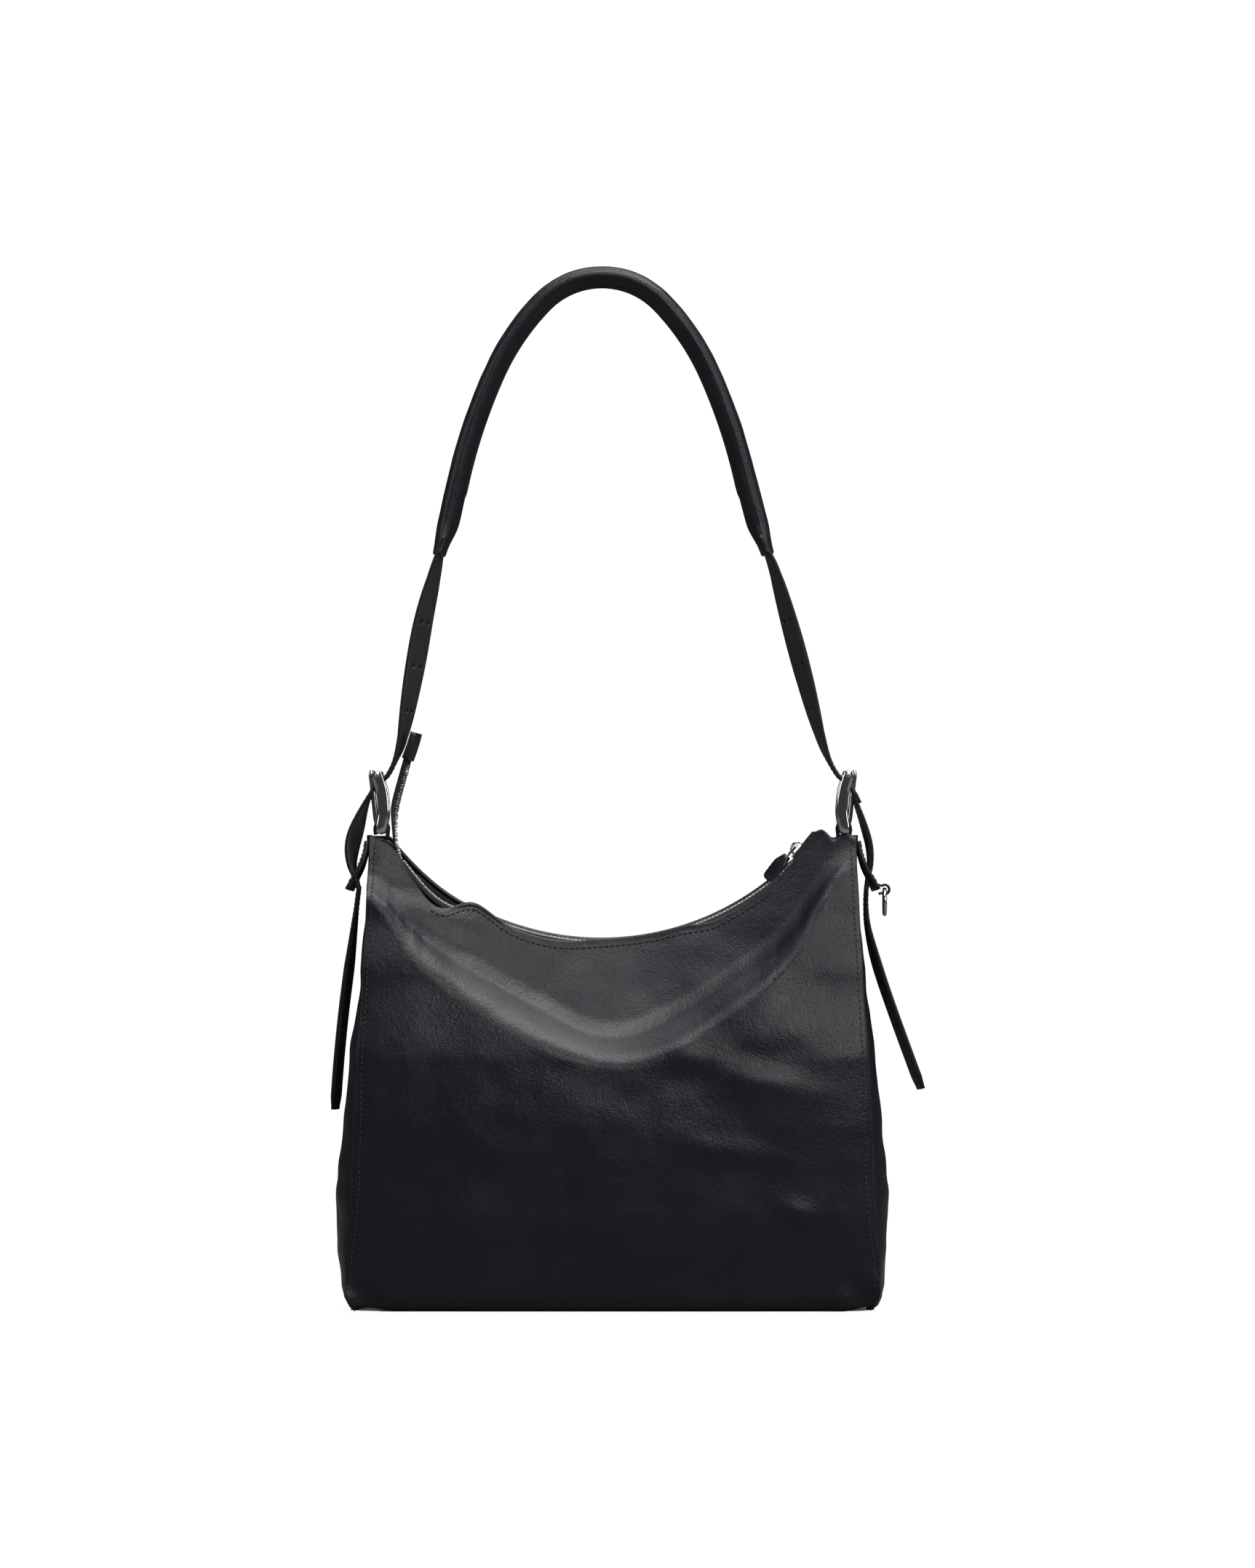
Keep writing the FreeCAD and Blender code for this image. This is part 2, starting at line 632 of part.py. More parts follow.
def ring_and_loop(tab):
    loop_outer = rod("ring_x", "ring_z", "ring_loop_hole+ring_loop_wall", "ring_loop_half")
    hole = rod("ring_x", "ring_z", "ring_loop_hole", "ring_loop_half+1")
    piece(cut(loop_outer, hole, tab), "ring_loop")
    ring = doc.addObject("Part::Torus", "Ring")
    place(ring, "ring_x", 0, "ring_z-ring_radius", Rotation(Vector(0, 1, 0), 90))
    bind(ring, Radius1="ring_radius", Radius2="ring_wire")
    piece(ring, "side_ring")


# ---- the whole bag -----------------------------------------------------------------------------

leather_body()
inside()
for hand, side in (("front", -1), ("back", 1)):
    zipper_tape("zipper_tape_" + hand, side)
    zipper_teeth("zipper_teeth_" + hand, side)
zipper_stops()
zipper_slider()
zipper_puller()
zipper_tail()
shoulder_sleeve()
strap_end("strap_end_left", -1, (100.5, 461.0), (103.4, 448.0))
strap_end("strap_end_right", 1, (87.3, 461.0), (91.0, 448.0))
for hand, side in (("left", -1), ("right", 1)):
    buckle(side, hand)
    anchor_loop("anchor_loop_" + hand, side)
    strap_slack("strap_slack_" + hand, side)
strap_tail("strap_tail_left", -1, [(151.5, 248.6), (156.5, 205), (161.8, 161), (165.5, 119)])
strap_tail("strap_tail_right", 1, [(151.5, 248.6), (152.6, 232), (160.5, 200), (184.5, 131)])
side_tab("side_tab_left", -1)
ring_and_loop(side_tab("side_tab_right", 1))
doc.recompute()


def write_parts():
    """Check every object, then write each sub-part."""
    for item in doc.Objects:
        if {"Invalid", "Error"} & set(item.State):
            raise RuntimeError(f"{item.Label} ({item.Name}) did not build: {item.State}")
    for item in pieces:
        if item.Shape.isNull() or not item.Shape.isValid() or item.Shape.Volume < 0.1:
            raise RuntimeError(f"{item.Label} has no valid shape")
    os.makedirs("parts", exist_ok=True)
    for item in pieces:
        item.Shape.exportStep(os.path.join("parts", item.Label + ".step"))
        print(item.Label, len(item.Shape.Solids), round(item.Shape.Volume, 1))


write_parts()
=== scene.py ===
import contextlib
import json
import math
import bmesh
import bpy
from mathutils import Matrix, Vector, noise


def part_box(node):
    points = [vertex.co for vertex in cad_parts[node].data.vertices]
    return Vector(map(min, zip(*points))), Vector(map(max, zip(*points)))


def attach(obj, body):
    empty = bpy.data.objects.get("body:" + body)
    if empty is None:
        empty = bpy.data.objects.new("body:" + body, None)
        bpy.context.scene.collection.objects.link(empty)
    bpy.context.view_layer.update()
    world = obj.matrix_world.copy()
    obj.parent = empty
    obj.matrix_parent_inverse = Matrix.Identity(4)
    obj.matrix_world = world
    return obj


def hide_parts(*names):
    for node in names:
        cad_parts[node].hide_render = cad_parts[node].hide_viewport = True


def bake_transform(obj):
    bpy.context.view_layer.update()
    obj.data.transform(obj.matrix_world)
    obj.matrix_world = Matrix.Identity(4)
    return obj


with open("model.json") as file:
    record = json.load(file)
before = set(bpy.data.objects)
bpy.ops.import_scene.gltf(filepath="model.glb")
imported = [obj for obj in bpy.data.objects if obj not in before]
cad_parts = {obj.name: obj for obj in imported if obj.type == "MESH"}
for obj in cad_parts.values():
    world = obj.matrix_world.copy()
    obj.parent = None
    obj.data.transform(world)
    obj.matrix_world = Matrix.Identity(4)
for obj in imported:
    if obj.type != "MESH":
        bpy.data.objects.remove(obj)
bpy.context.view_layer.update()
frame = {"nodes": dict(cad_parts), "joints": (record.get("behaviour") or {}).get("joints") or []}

# A soft black leather hobo bag, dressed around its CAD frame. Lengths below are in millimetres
# unless a name says otherwise, and MM turns them into metres. -Y is the front, +Z is up.

MM = 0.001
JOINTS = {joint["name"]: joint for joint in frame["joints"]}


def in_mm(point):
    return Vector(point) / MM


MOUTH = in_mm(JOINTS["zipper_travel"]["pos_m"])
CORNER_Z = in_mm(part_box("front_panel")[1]).z
MOUTH_RADIUS = 161.0
WALL = 1.5
SIDES = ((-1, "left"), (1, "right"))
UP = Vector((0, 0, 1))
FRONT = Vector((0, -1, 0))


def clamp(value, low=0.0, high=1.0):
    return max(low, min(high, value))


def smooth(value, low, high):
    """0 below low, 1 above high, smooth between."""
    t = clamp((value - low) / (high - low))
    return t * t * (3 - 2 * t)


def mix(a, b, t):
    return a + (b - a) * t


def bump(value, centre, spread):
    return math.exp(-((value - centre) / spread) ** 2)


def table(value, pairs):
    """A smooth value between the pairs (place, value), which are in order of place."""
    if value <= pairs[0][0]:
        return pairs[0][1]
    for (a, va), (b, vb) in zip(pairs, pairs[1:]):
        if value <= b:
            return mix(va, vb, smooth(value, a, b) * 0.5 + 0.5 * (value - a) / (b - a))
    return pairs[-1][1]


def wave(x, y, z, scale, seed):
    """Smooth noise about zero with features of a given size."""
    return noise.noise(Vector((x / scale + seed, y / scale - seed, z / scale + 3.7 * seed)))


# ---- materials ----

def new_material(name, colour, roughness, metallic=0.0):
    material = bpy.data.materials.new(name)
    material.use_nodes = True
    nodes = material.node_tree.nodes
    shader = nodes["Principled BSDF"]
    shader.inputs["Base Color"].default_value = (*colour, 1)
    shader.inputs["Roughness"].default_value = roughness
    shader.inputs["Metallic"].default_value = metallic
    return material, shader


def add(material, kind, **values):
    node = material.node_tree.nodes.new(kind)
    for name, value in values.items():
        if name in node.inputs:
            node.inputs[name].default_value = value
        else:
            setattr(node, name, value)
    return node


def link(material, source, target):
    material.node_tree.links.new(source, target)


def ramp(material, source, stops, target=None):
    """Colours or greys by the source's value, linked to the target where one is given."""
    node = add(material, "ShaderNodeValToRGB")
    while len(node.color_ramp.elements) < len(stops):
        node.color_ramp.elements.new(0.5)
    for element, (place, value) in zip(node.color_ramp.elements, stops):
        element.position = place
        element.color = (*value, 1) if isinstance(value, tuple) else (value, value, value, 1)
    link(material, source, node.inputs["Fac"])
    if target:
        link(material, node.outputs["Color"], target)
    return node.outputs["Color"]


def blended(material, operation, first, second):
    """Two outputs multiplied or added."""
    node = add(material, "ShaderNodeMath", operation=operation)
    link(material, first, node.inputs[0])
    link(material, second, node.inputs[1])
    return node.outputs["Value"]


def texture(material, kind, scale, stretch=None, **values):
    """A texture in the object's own space, which is the frame's."""
    place = add(material, "ShaderNodeTexCoord").outputs["Object"]
    if stretch:
        mapping = add(material, "ShaderNodeMapping")
        mapping.inputs["Scale"].default_value = stretch
        link(material, place, mapping.inputs["Vector"])
        place = mapping.outputs["Vector"]
    node = add(material, kind, Scale=scale, **values)
    link(material, place, node.inputs["Vector"])
    return node


def relief(material, shader, layers):
    """Stack bump maps: (height output, strength, distance in metres)."""
    normal = None
    for height, strength, distance in layers:
        node = add(material, "ShaderNodeBump", Strength=strength, Distance=distance)
        link(material, height, node.inputs["Height"])
        if normal:
            link(material, normal, node.inputs["Normal"])
        normal = node.outputs["Normal"]
    link(material, normal, shader.inputs["Normal"])


def leather(name, dark, light, rough, grain=1.0, creases=1.0, coat=0.0):
    """Fine-grained aniline leather: pebbles about 0.7 mm wide, pores, long soft creases, uneven gloss."""
    material, shader = new_material(name, dark, rough[0])
    pebble = texture(material, "ShaderNodeTexVoronoi", 1250, feature="F1")
    pores = texture(material, "ShaderNodeTexNoise", 2600, Detail=4.0, Roughness=0.65)
    cloud = texture(material, "ShaderNodeTexNoise", 26, Detail=6.0, Roughness=0.62, Distortion=0.5)
    vein = texture(material, "ShaderNodeTexVoronoi", 190, (1, 1, 0.62), feature="DISTANCE_TO_EDGE")
    speck = texture(material, "ShaderNodeTexNoise", 520, Detail=5.0, Roughness=0.7)
    ramp(material, cloud.outputs["Fac"], [(0.3, dark), (0.72, light)], shader.inputs["Base Color"])
    mixed = blended(material, "MULTIPLY", cloud.outputs["Fac"], speck.outputs["Fac"])
    ramp(material, mixed, [(0.12, rough[0]), (0.42, rough[1])], shader.inputs["Roughness"])
    crease = ramp(material, vein.outputs["Distance"], [(0.0, 0.0), (0.09, 1.0)])
    relief(material, shader, [
        (cloud.outputs["Fac"], 0.35 * creases, 0.0012),
        (crease, 0.18 * creases, 0.0002),
        (speck.outputs["Fac"], 0.42 * grain, 0.0005),
        (pebble.outputs["Distance"], 0.34 * grain, 0.00022),
        (pores.outputs["Fac"], 0.20 * grain, 0.00012),
    ])
    shader.inputs["Specular IOR Level"].default_value = 0.5
    shader.inputs["Coat Weight"].default_value = coat
    shader.inputs["Coat Roughness"].default_value = 0.28
    return material


def nickel(name, colour, rough):
    """Polished plate with faint hand-polish streaks and slightly duller patches."""
    material, shader = new_material(name, colour, rough[0], metallic=1.0)
    streak = texture(material, "ShaderNodeTexNoise", 380, (1, 1, 0.08), Detail=3.0)
    patch = texture(material, "ShaderNodeTexNoise", 90, Detail=4.0)
    ramp(material, patch.outputs["Fac"], [(0.35, rough[0]), (0.7, rough[1])], shader.inputs["Roughness"])
    relief(material, shader, [(streak.outputs["Fac"], 0.02, 0.00005)])
    return material


def woven(name, dark, light, pitch_mm, rough, sheen=0.05):
    """Cloth of crossing threads."""
    material, shader = new_material(name, dark, rough)
    scale = 500.0 / pitch_mm
    warp = texture(material, "ShaderNodeTexWave", scale, bands_direction="X", Distortion=0.4)
    weft = texture(material, "ShaderNodeTexWave", scale, bands_direction="Z", Distortion=0.4)
    cross = blended(material, "ADD", warp.outputs["Fac"], weft.outputs["Fac"])
    ramp(material, cross, [(0.4, dark), (1.0, light)], shader.inputs["Base Color"])
    relief(material, shader, [(cross, 0.5, 0.0003)])
    shader.inputs["Sheen Weight"].default_value = sheen
    return material


BODY = leather("body_leather", (0.0060, 0.0070, 0.0115), (0.0095, 0.0108, 0.0165), (0.27, 0.40))
STRAP = leather("strap_leather", (0.0075, 0.0085, 0.0125), (0.012, 0.0132, 0.018), (0.32, 0.46), creases=0.4)
FACE = leather("strap_face", (0.026, 0.027, 0.031), (0.042, 0.043, 0.048), (0.40, 0.55), creases=0.3)
FLESH = leather("strap_back", (0.060, 0.061, 0.066), (0.095, 0.096, 0.102), (0.48, 0.62), creases=0.3)
EDGE = leather("edge_paint", (0.004, 0.0045, 0.007), (0.006, 0.0065, 0.009), (0.36, 0.46), grain=0.4)
THREAD = woven("thread", (0.010, 0.011, 0.016), (0.030, 0.032, 0.040), 0.5, 0.62)
TAPE = woven("zipper_tape", (0.003, 0.003, 0.004), (0.009, 0.009, 0.011), 0.7, 0.9)
LINING = woven("lining", (0.010, 0.010, 0.012), (0.022, 0.022, 0.026), 0.6, 0.9)
NICKEL = nickel("nickel", (0.80, 0.78, 0.76), (0.09, 0.16))
ZIP_METAL = nickel("zipper_metal", (0.86, 0.85, 0.82), (0.30, 0.42))
BOARD = woven("board", (0.16, 0.13, 0.09), (0.22, 0.19, 0.14), 1.2, 0.9)
FOAM = woven("sleeve_cord", (0.35, 0.34, 0.32), (0.5, 0.49, 0.46), 1.4, 0.95)


# ---- mesh helpers ----

@contextlib.contextmanager
def opened(mesh):
    """The mesh as a bmesh, written back at the end."""
    bm = bmesh.new()
    bm.from_mesh(mesh)
    yield bm
    bm.to_mesh(mesh)
    bm.free()


def smooth_shade(mesh):
    for polygon in mesh.polygons:
        polygon.use_smooth = True


def make(name, verts, faces, material):
    """A mesh object from millimetre points."""
    mesh = bpy.data.meshes.new(name)
    mesh.from_pydata([Vector(v) * MM for v in verts], [], faces)
    mesh.validate()
    mesh.materials.append(material)
    with opened(mesh) as bm:
        bmesh.ops.recalc_face_normals(bm, faces=bm.faces)
    smooth_shade(mesh)
    thing = bpy.data.objects.new(name, mesh)
    bpy.context.scene.collection.objects.link(thing)
    return thing


def apply_modifiers(thing):
    depsgraph = bpy.context.evaluated_depsgraph_get()
    done = bpy.data.meshes.new_from_object(thing.evaluated_get(depsgraph))
    thing.modifiers.clear()
    old = thing.data
    thing.data = done
    bpy.data.meshes.remove(old)
    return thing


def thicken(thing, thickness_mm, offset=-1.0):
    solid = thing.modifiers.new("solid", "SOLIDIFY")
    solid.thickness = thickness_mm * MM
    solid.offset = offset
    solid.use_even_offset = False
    return apply_modifiers(thing)


def soften(thing, width_mm, segments=3):
    """Round a piece's edges."""
    bevel = thing.modifiers.new("soft", "BEVEL")
    bevel.width = width_mm * MM
    bevel.segments = segments
    return apply_modifiers(thing)


def cut(body, cutter):
    """Take the cutter's shape out of a piece."""
    hole = body.modifiers.new("hole", "BOOLEAN")
    hole.operation = "DIFFERENCE"
    hole.solver = "EXACT"
    hole.object = cutter
    apply_modifiers(body)
    bpy.data.objects.remove(cutter)


def cap_ends(thing, sides=40):
    """Close the open ends of a swept skin."""
    with opened(thing.data) as bm:
        bmesh.ops.holes_fill(bm, edges=bm.edges, sides=sides)
        bmesh.ops.recalc_face_normals(bm, faces=bm.faces)
    smooth_shade(thing.data)


def grid(name, rows, material, closed_u=False):
    """A sheet through rows of points."""
    count = len(rows[0])
    verts = [point for row in rows for point in row]
    faces = []
    last = count if closed_u else count - 1
    for j in range(len(rows) - 1):
        for i in range(last):
            a, b = j * count + i, j * count + (i + 1) % count
            faces.append((a, b, b + count, a + count))
    return make(name, verts, faces, material)


def merge(name, things):
    """One object from several."""
    bm = bmesh.new()
    materials = []
    for thing in things:
        places = []
        for material in thing.data.materials:
            if material not in materials:
                materials.append(material)
            places.append(materials.index(material))
        first = len(bm.faces)
        bm.from_mesh(thing.data)
        bm.faces.ensure_lookup_table()
        for face in bm.faces[first:]:
            face.material_index = places[face.material_index]
    mesh = bpy.data.meshes.new(name)
    bm.to_mesh(mesh)
    bm.free()
    for material in materials:
        mesh.materials.append(material)
    for thing in things:
        bpy.data.objects.remove(thing)
    joined = bpy.data.objects.new(name, mesh)
    bpy.context.scene.collection.objects.link(joined)
    return joined


def spline(points, step=2.0):
    """Points along a smooth curve through the given points, about step apart."""
    points = [Vector(point) for point in points]
    padded = [points[0] * 2 - points[1]] + points + [points[-1] * 2 - points[-2]]
    fine = []
    for i in range(1, len(padded) - 2):
        p0, p1, p2, p3 = padded[i - 1:i + 3]
        parts = max(2, int((p2 - p1).length / step))
        for k in range(parts):
            t = k / parts
            fine.append(0.5 * ((2 * p1) + (p2 - p0) * t + (2 * p0 - 5 * p1 + 4 * p2 - p3) * t * t
                               + (3 * p1 - p0 - 3 * p2 + p3) * t ** 3))
    fine.append(points[-1])
    return fine


def at(value, share):
    """A value that may be a function of the share of the way along."""
    return value(share) if callable(value) else value


def tangents(path):
    last = len(path) - 1
    return [(path[min(i + 1, last)] - path[max(i - 1, 0)]).normalized() for i in range(last + 1)]


def lengths(path):
    total = [0.0]
    for a, b in zip(path, path[1:]):
        total.append(total[-1] + (b - a).length)
    return total


def nearest(distances, place):
    """The index of the point nearest to a distance along a path."""
    return min(range(len(distances)), key=lambda i: abs(distances[i] - place))


def flat_route(route):
    """Points (x, z) in the middle plane."""
    return [(x, 0, z) for x, z in route]


def dress(thing, body, slot, *nodes):
    """Attach a piece to the body it rides on and hide the CAD nodes it stands for; slot, its finish, is not
    used.
    """
    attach(thing, body)
    if nodes:
        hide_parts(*nodes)
    return thing


def bend(thing, slot, low, high, *nodes):
    """Hide the CAD nodes that a piece of leather stands for and bake its transform into its mesh. It is not
    split between the bag below one height and the strap above another: slot, low and high (heights in metres)
    are not used."""
    if nodes:
        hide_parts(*nodes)
    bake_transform(thing)


# ---- the leather body ----

# (height, distance from the middle), and (height, half depth) for SIDE_DEPTH
SEAM_X = ((0, 152.0), (3, 155.6), (12, 158.5), (30, 157.8), (52, 154.8), (80, 152.8), (140, 151.8),
          (200, 148.6), (240, 146.6), (270, 145.2), (300, 144.4))
BULGE_X = ((0, 151.5), (3, 156.0), (8, 158.8), (16, 160.8), (40, 163.6), (70, 164.2), (110, 162.2),
           (150, 157.8), (200, 151.8), (240, 149.0), (281, 146.0))
SIDE_DEPTH = ((0, 49.5), (10, 51.5), (60, 54.0), (110, 54.0), (150, 51.5), (200, 42.0), (240, 30.5),
              (281, 16.6))
# (place across, height) of the smile-shaped fold where the slope from the mouth ends
RIDGE_Z = ((-150, 262), (-136, 245), (-128, 232), (-104, 211), (-60, 187), (-25, 167), (3, 157),
           (30, 167), (66, 190), (95, 209), (112, 228), (126, 250), (136, 276))
RIDGE_SPREAD = (-16, -8, 0, 8, 16)
# (place across, height, width, tallness, how far it stands out)
SOFT_BULGES = ((92, 138, 26, 9, 2.4), (72, 94, 30, 10, 2.2), (110, 60, 12, 8, 1.8), (-60, 96, 40, 14, 1.2))
MOUTH_DEPTH = 10.6
SLOPE = 0.46
SEAM_LOW, SEAM_HIGH = 0.256, 0.292
FOOT_Z = 4.5
LIP_SHARE = 0.9
LIP_DROP = 2.0
COLUMNS = 170
ROWS = 150


def mouth_z(x):
    """Height of the round mouth's edge above a place across the bag."""
    reach = clamp(x - MOUTH.x, -MOUTH_RADIUS + 1, MOUTH_RADIUS - 1)
    return min(MOUTH.z - math.sqrt(MOUTH_RADIUS ** 2 - reach ** 2), CORNER_Z)


def sag(x, front):
    """The slack left end of the mouth has dropped, the front more than the back."""
    if not front:
        return 1.5 * bump(x, -100, 22)
    return (15.0 * bump(x, -106, 20) + 2.5 * bump(x, -62, 24) + 2.6 * bump(x, -33, 20)
            + 4.0 * smooth(x, 38, 62) * (1 - smooth(x, 98, 110)))


def edge_z(x, front):
    return mouth_z(x) - sag(x, front)


def lip(x, front):
    """How far the leather rolls up and over before it turns down to the zipper."""
    return 1.2 + (7.5 * bump(x, -84, 15) if front else 0)


def softer_min(a, b, k):
    h = clamp(0.5 + 0.5 * (b - a) / k)
    return mix(b, a, h) - k * h * (1 - h)


def panel_depth(x, z, front):
    """Distance of the panel from the middle plane, as a full but slack shell."""
    seam = table(z, SEAM_X)
    across = clamp(1 - (x / seam) ** 2)
    side = table(z, SIDE_DEPTH)
    full_z = smooth(z, 0, 60) * (1 - smooth(z, 150, 260))
    side += 3.6 * full_z * across ** 0.6 + 1.5 * across ** 0.5 * (1 - smooth(z, 230, 281))
    radius = math.hypot(x - MOUTH.x, z - MOUTH.z)
    ridge = sum(table(x + step, RIDGE_Z) for step in RIDGE_SPREAD) / len(RIDGE_SPREAD)
    above_ridge = z - ridge
    slope = MOUTH_DEPTH + SLOPE * (radius - MOUTH_RADIUS)
    slope += 3.4 * (1 - smooth(above_ridge, -3, 13)) + 0.8 * max(0.0, 2.0 - above_ridge)
    depth = softer_min(side, slope, 8.0)
    # the leather's own waves, large to small
    seed = 1.0 if front else 7.0
    body = across ** 0.7 * smooth(z, 4, 40) * (1 - smooth(z, 225, 275))
    depth += body * (1.9 * wave(x, 0, z, 92, seed) + 1.0 * wave(x, 0, z, 38, seed + 2)
                     + 0.35 * wave(x, 0, z, 14, seed + 3))
    for bulge_x, bulge_z, wide, tall, high in SOFT_BULGES:
        depth += high * bump(x, bulge_x, wide) * bump(z + 0.18 * (x - bulge_x), bulge_z, tall)
    # long slack creases that run from the right corner towards the middle
    run = (x - 20) * 0.55 + (z - 150) * 0.83
    crease = math.sin(run / 8.5 + 2.2 * wave(x, 0, z, 60, seed + 4))
    depth += 0.9 * body * crease * bump(x, 78, 60) * bump(z, 165, 60)
    depth -= 1.1 * body * bump(z - 128 - 0.25 * x, 0, 9) * smooth(x, -20, 60)
    depth -= 0.9 * body * bump(z - 96 + 0.12 * x, 0, 8) * smooth(x, 0, 90)
    if front:
        # the fold that falls from the left corner
        fold_line = z - (250 + (x + 145) * -0.28)
        left = 1 - smooth(x, -100, -62)
        depth += 1.9 * left * bump(fold_line, -5, 9)
        depth -= 1.6 * left * bump(fold_line, 9, 10)
    corner = smooth(abs(x), 108, 140) * smooth(z, 225, 275)
    depth += 1.4 * corner * wave(x, 0, z, 16, seed + 5)
    foot = smooth(abs(x), 120, 156) * (1 - smooth(z, 4, 34))
    depth += 1.9 * foot * math.sin(x / 5.2 + z / 7.0)
    return depth


def column_x(share, z):
    return share * table(z, SEAM_X)


def top_of_column(share, front):
    """Where a column of the panel ends: on the mouth, or on a corner's top."""
    z = CORNER_Z - 20
    for _ in range(12):
        z = mix(z, edge_z(column_x(share, z), front), 0.7)
    x = column_x(share, z)
    crumple = 8.0 * wave(x, 0, 0, 8, 4.0) * smooth(x, 100, 112) * (1 - smooth(x, 138, 146))
    crumple += 4.2 * bump(x, 113, 5)
    return z + crumple * (1 if front else 0.6)


def panel_rows(front):
    """The panel from the base seam up to the mouth, where it rolls over towards the zipper."""
    side = -1 if front else 1
    rows = []
    tops = []
    spread = math.pi / 2 * 0.82
    for i in range(COLUMNS + 1):
        share = math.sin((i / COLUMNS * 2 - 1) * spread) / math.sin(spread)
        tops.append((share, top_of_column(share, front)))
    for j in range(ROWS + 1):
        v = j / ROWS
        row = []
        for share, top in tops:
            roll = lip(column_x(share, top), front)
            brow = top + roll - LIP_DROP
            if v < LIP_SHARE:
                z = mix(FOOT_Z, brow, v / LIP_SHARE)
                x = column_x(share, z)
                depth = panel_depth(x, z, front)
            else:
                t = (v - LIP_SHARE) / (1 - LIP_SHARE)
                x = column_x(share, top)
                outer = panel_depth(x, brow, front)
                reach = outer - min(outer - 2, 9.6)
                depth = outer - reach * math.sin(t * math.pi / 2) * (0.35 + 0.65 * t)
                z = brow + LIP_DROP * math.sin(min(1, t * 2) * math.pi / 2) - roll * smooth(t, 0.35, 1)
            row.append(Vector((x, side * depth, z)))
        rows.append(row)
    # the foot of the panel turns under to the base seam
    under = []
    for height, inward in ((0.5, 6.4), (0.9, 3.8), (1.9, 1.6), (3.1, 0.5)):
        lift = [4.5 * smooth(abs(p.x), 138, 156) ** 2 * inward / 6.4 for p in rows[0]]
        under.append([Vector((p.x * (1 - 0.0045 * inward), p.y - side * inward, height + rise))
                      for p, rise in zip(rows[0], lift)])
    return under + rows


def panel(name, front):
    return thicken(grid(f"{name}_leather", panel_rows(front), BODY), WALL)


def gusset_rows(side):
    """A side between the two panels: it bulges past the seams and closes the corner at the top."""
    rows = []
    count = 44
    for j in range(121):
        z = mix(1.0, CORNER_Z + 1.5, j / 120)
        seam = table(z, SEAM_X) - 0.4
        bulge = table(z, BULGE_X) - seam
        front = panel_depth(side * (seam - 1), z, True) - 0.6
        back = panel_depth(side * (seam - 1), z, False) - 0.6
        row = []
        for i in range(count + 1):
            s = i / count * 2 - 1
            y = s * (front if s < 0 else back)
            crown = 1 - abs(s) ** 5
            x = seam + bulge * crown
            x += crown * (1.6 * wave(0, y, z, 34, 11 + side) + 0.7 * wave(0, y, z, 13, 13 + side))
            x -= crown * 8.5 * bump(y, 0, 24) * smooth(z, 66, 116) * (1 - smooth(z, 245, 281))
            x += 1.2 * crown * math.sin(y / 6.0) * (1 - smooth(z, 4, 26))
            row.append(Vector((side * x, y, z)))
        rows.append(row)
    top = rows[-1]
    for inward, drop in ((2.0, 1.0), (5.0, 1.4), (9.0, 2.4), (13.0, 4.4), (16.0, 8.0)):
        rows.append([Vector((p.x - side * inward, p.y * (1 - 0.006 * inward), p.z - drop)) for p in top])
    return rows


def gusset(side, hand):
    return thicken(grid(f"gusset_{hand}_leather", gusset_rows(side), BODY), WALL)


def base():
    """The base sags a little between its seams and lies flat on the floor in the middle."""
    rows = []
    for j in range(31):
        s = j / 30 * 2 - 1
        row = []
        for i in range(91):
            u = i / 90 * 2 - 1
            x = u * 155.0
            depth = (panel_depth(x * 0.98, 3.0, s < 0) - 3.0) * (1 - 0.10 * abs(u) ** 14)
            lift = 1.1 * max(abs(s) ** 8, abs(u) ** 14)
            row.append(Vector((x, s * depth, 0.15 + lift)))
        rows.append(row)
    return thicken(grid("base_leather", rows, BODY), WALL, offset=1.0)


STITCH = ((-0.5, -0.35), (-0.3, 0.5), (0.0, 0.75), (0.3, 0.5), (0.5, -0.35))
STITCH_SIDES = 6


def stitch_row(name, path, normals, pitch=3.4, long=2.5, thick=0.42):
    """Thread stitches laid along a path, standing on the side that normals says: one direction, or one
    for each point of the path."""
    total = lengths(path)
    verts, faces = [], []
    place, index = pitch / 2, 0
    while place < total[-1] - pitch / 2:
        while total[index + 1] < place:
            index += 1
        t = (place - total[index]) / max(total[index + 1] - total[index], 1e-6)
        centre = path[index].lerp(path[index + 1], t)
        ahead = (path[index + 1] - path[index]).normalized()
        up = (normals if isinstance(normals, Vector) else normals[index]).normalized()
        across = ahead.cross(up).normalized()
        first = len(verts)
        for along, rise in STITCH:
            middle = centre + ahead * (along * long) + up * (rise * thick)
            size = thick * (0.55 if abs(along) > 0.4 else 0.8)
            for corner in range(STITCH_SIDES):
                turn = corner * 2 * math.pi / STITCH_SIDES
                verts.append(middle + across * (math.cos(turn) * size) + up * (math.sin(turn) * size * 0.7))
        last = first + (len(STITCH) - 1) * STITCH_SIDES
        for ring in range(first, last, STITCH_SIDES):
            for corner in range(STITCH_SIDES):
                a, b = ring + corner, ring + (corner + 1) % STITCH_SIDES
                faces.append((a, b, b + STITCH_SIDES, a + STITCH_SIDES))
        faces += [tuple(end + corner for corner in range(STITCH_SIDES)) for end in (first, last)]
        place += pitch
    return make(name, verts, faces, THREAD)


def surface_path(points, front, lift=0.25):
    """Points across the panel at a given x and z, put on its surface."""
    side = -1 if front else 1
    return [Vector((x, side * (panel_depth(x, z, front) + lift), z)) for x, z in points]


